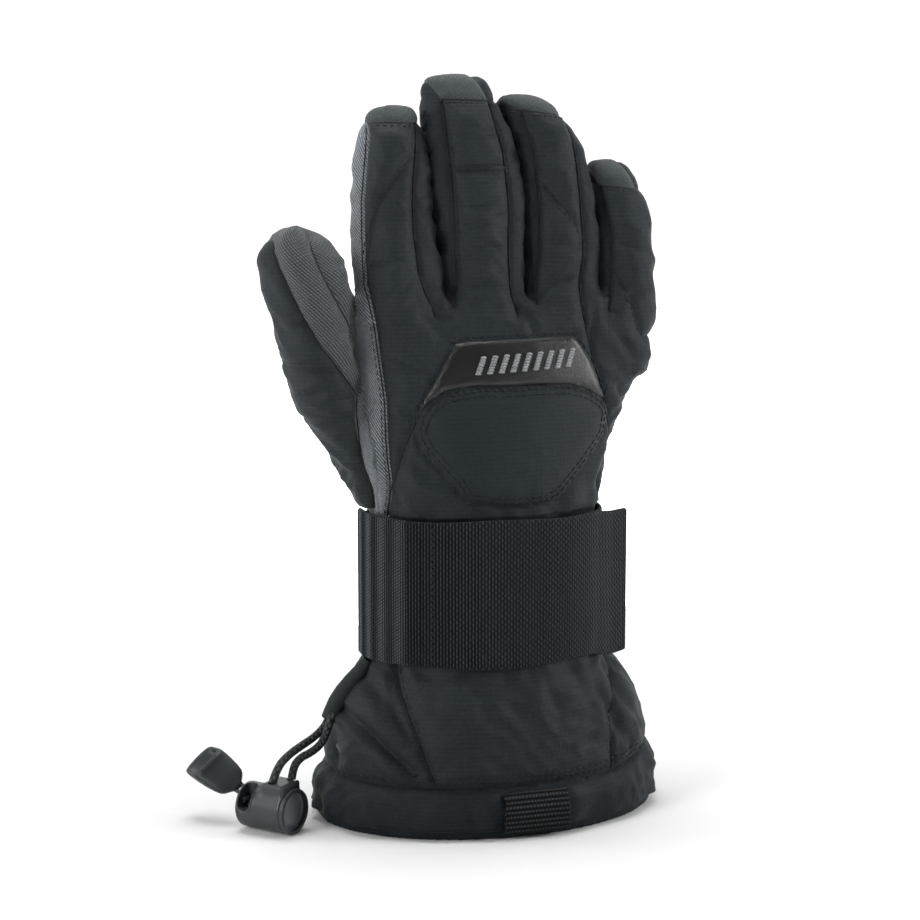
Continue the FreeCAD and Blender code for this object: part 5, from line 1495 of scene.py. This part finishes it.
tabw = Work()
for sgn in (1, -1):
    tabw.tube([tab_at(7.4, 1.5 * sgn, 0), tab_at(5.6, 1.45 * sgn, 0), tab_at(3.6, 1.0 * sgn, 0), tab_at(2.0, 0.6 * sgn, 0.2)], [NOR] * 4, [0.85, 0.8, 0.75, 0.75], sides=6)
ring_pts, ring_n = [], []
ax_x = LONG
ax_y = AC.cross(LONG).normalized()
ax_x = ax_y.cross(AC).normalized()
for q in range(25):
    a = 2 * math.pi * q / 24
    ring_pts.append(BAR + (ax_x * math.cos(a) + ax_y * math.sin(a)) * 2.15)
    ring_n.append(AC)
tabw.tube(ring_pts, ring_n, [0.75] * 25)
tv2, tf2 = np.vstack(tabw.v), np.array(tabw.f)
tf = fix_out(tv, tf)
tab_o = mesh_piece("pull_tab_moulded", np.vstack([tv, tv2]), np.vstack([tf, tf2 + len(tv)]), None, "tab")
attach(tab_o, "pull_tab")
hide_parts("pull_tab")

def barrel_field(x, y, z):
    r = np.sqrt(y * y + z * z)
    rd = 1.1
    qx, qr = np.abs(x - 11.6) - (10.0 - rd), r - (8.3 - rd)
    f = np.sqrt(np.maximum(qx, 0) ** 2 + np.maximum(qr, 0) ** 2) + np.minimum(np.maximum(qx, qr), 0) - rd
    er = 1.3
    ex1, ey1, ez1 = np.abs(x - 16.6) - (4.9 - er), np.abs(y) - (5.9 - er), np.abs(z - 7.6) - (2.9 - er)
    ear = np.sqrt(np.maximum(ex1, 0) ** 2 + np.maximum(ey1, 0) ** 2 + np.maximum(ez1, 0) ** 2) + np.minimum(np.maximum(ex1, np.maximum(ey1, ez1)), 0) - er
    f = smin(f, ear, 1.6)
    phi = np.degrees(np.arctan2(z, -y))
    t = (phi - 40) * 8.3 * math.pi / 180
    d2 = np.sqrt(np.maximum(np.abs(t) - 3.4, 0) ** 2 + (x - 5.9) ** 2) - 2.7
    rim = np.sqrt(np.maximum(d2 - 0.15, 0) ** 2 + np.maximum(0.15 - d2 - 1.0, 0) ** 2 + np.maximum(np.abs(r - 8.3) - 0.1, 0) ** 2) - 0.35
    f = smin(f, rim, 0.5)
    f = np.maximum(f, -np.maximum(d2, 3.4 - r))
    f = np.maximum(f, -np.maximum(r - 6.3, 8.8 - x))
    f = np.maximum(f, -np.maximum(r - 7.55, 13.3 - x))
    for hx_, hy_ in ((15.4, -3.2), (18.8, 4.0)):
        hole = np.maximum(np.sqrt((x - hx_) ** 2 + (y - hy_) ** 2) - 1.7, 0 - z)
        f = np.maximum(f, -hole)
    return np.maximum(f, x - 21.55)


bh = 0.32
b_lo = np.array([-1.0, -9.6, -9.6])
b_n = [int(q / bh) for q in (24, 19.2, 21.5)]
bx = (b_lo[0] + bh * np.arange(b_n[0]))[:, None, None]
by = (b_lo[1] + bh * np.arange(b_n[1]))[None, :, None]
bz = (b_lo[2] + bh * np.arange(b_n[2]))[None, None, :]
BV, BQ = surface_nets(barrel_field(bx, by, bz) * np.ones(tuple(b_n)), b_lo, bh)
for _ in range(3):
    g = grad(barrel_field, BV, 0.05)
    L2 = (g ** 2).sum(1) + 1e-6
    BV = BV - g * np.clip(barrel_field(BV[:, 0], BV[:, 1], BV[:, 2]) / L2, -0.15, 0.15)[:, None]
M3 = np.array([[LD.x, AC.x, 0], [LD.y, AC.y, 0], [LD.z, AC.z, 1]])
BW = BV @ M3.T + np.array(LOCK0)
BT = np.vstack([BQ[:, [0, 1, 2]], BQ[:, [0, 2, 3]]])
if (np.cross(BW[BT[:, 0]], BW[BT[:, 1]]) * BW[BT[:, 2]]).sum() < 0:
    BQ = BQ[:, ::-1]
bar_o = mesh_piece("lock_barrel_moulded", BW, BQ, None, "lock")
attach(bar_o, "cord_lock")
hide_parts("lock_barrel")

prof = [(16.7, 0.0), (16.7, 7.1), (16.9, 7.3), (21.2, 7.3), (21.6, 7.1), (21.85, 6.7), (21.85, 6.5), (21.6, 6.3), (21.6, 6.1), (21.8, 5.9), (21.95, 3.0), (22.0, 0.0)]
NB = 64
bv = []
for x_, r_ in prof[1:-1]:
    for q in range(NB):
        a = 2 * math.pi * q / NB
        bv.append((x_, r_ * math.cos(a), r_ * math.sin(a)))
bf = [(i * NB + q, i * NB + (q + 1) % NB, (i + 1) * NB + (q + 1) % NB, (i + 1) * NB + q) for i in range(len(prof) - 3) for q in range(NB)]
for x_, ring0 in ((prof[0][0], 0), (prof[-1][0], (len(prof) - 3) * NB)):
    ci = len(bv)
    bv.append((x_, 0.0, 0.0))
    for q in range(0, NB, 2):
        tri_ = (ci, ring0 + (q + 2) % NB, ring0 + q + 1, ring0 + q)
        bf.append(tri_ if ring0 == 0 else (ci, tri_[3], tri_[2], tri_[1]))
bv = np.array(bv) @ M3.T + np.array(LOCK0)
bf = fix_out(bv, np.array(bf))
but_o = mesh_piece("lock_button_disc", bv, bf, None, "button")
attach(but_o, "lock_button")
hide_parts("lock_button")

# fabric sleeve that the cords come out of
sl = Work()
sl_p = [Vector((q[0] + OX, q[1] + OY, q[2])) for q in ((-58.6, 2.2, 36.6), (-57.3, 1.9, 39.4), (-55.8, 1.2, 43.0), (-53.6, 0.2, 47.0), (-50.6, -1.4, 51.6), (-47.6, -3.0, 56.0), (-45.4, -4.2, 60.0))]
sl.tube(sl_p, [Vector((0, -1, 0.3))] * 7, [3.3, 3.5, 3.6, 3.5, 3.2, 2.7, 2.0], sides=20)
sleeve = mesh_piece("cord_sleeve", np.vstack(sl.v), np.array(sl.f), None, "guide")
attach(sleeve, "glove")
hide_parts("cord_guide")

# two small windows near the barrel's open end, as near-black boxes: painted shade of the openings
wv, wf = [], []
for ang, x_ in ((math.radians(196), 19.2), (math.radians(238), 19.4)):
    c = LOCK0 + LD * x_
    rad = AC * math.cos(ang) * -1 + Vector((0, 0, 1)) * -math.sin(ang)
    rad.normalize()
    tng = LD.cross(rad).normalized()
    b0 = len(wv)
    for du in (-0.55, 0.55):
        for dt in (-1.3, 1.3):
            for dr in (7.4, 8.33):
                wv.append(tuple(c + LD * du + tng * dt + rad * dr))
    for f4 in ((0, 1, 3, 2), (4, 6, 7, 5), (0, 4, 5, 1), (2, 3, 7, 6), (0, 2, 6, 4), (1, 5, 7, 3)):
        wf.append(tuple(b0 + q for q in f4))
win = mesh_piece("lock_window_shade_boxes", np.array(wv), np.array(wf), None, "black", smooth=False)
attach(win, "cord_lock")

# ---------------------------------------------------------------- CAD nodes that stay on show
SHOWN = {"slot_bar": "lock", "lock_end_ring": "lock", "lock_spring": "steel"}
for n, m in SHOWN.items():
    o = NODES[n]
    o.data.materials.clear()
    o.data.materials.append(MAT[m])
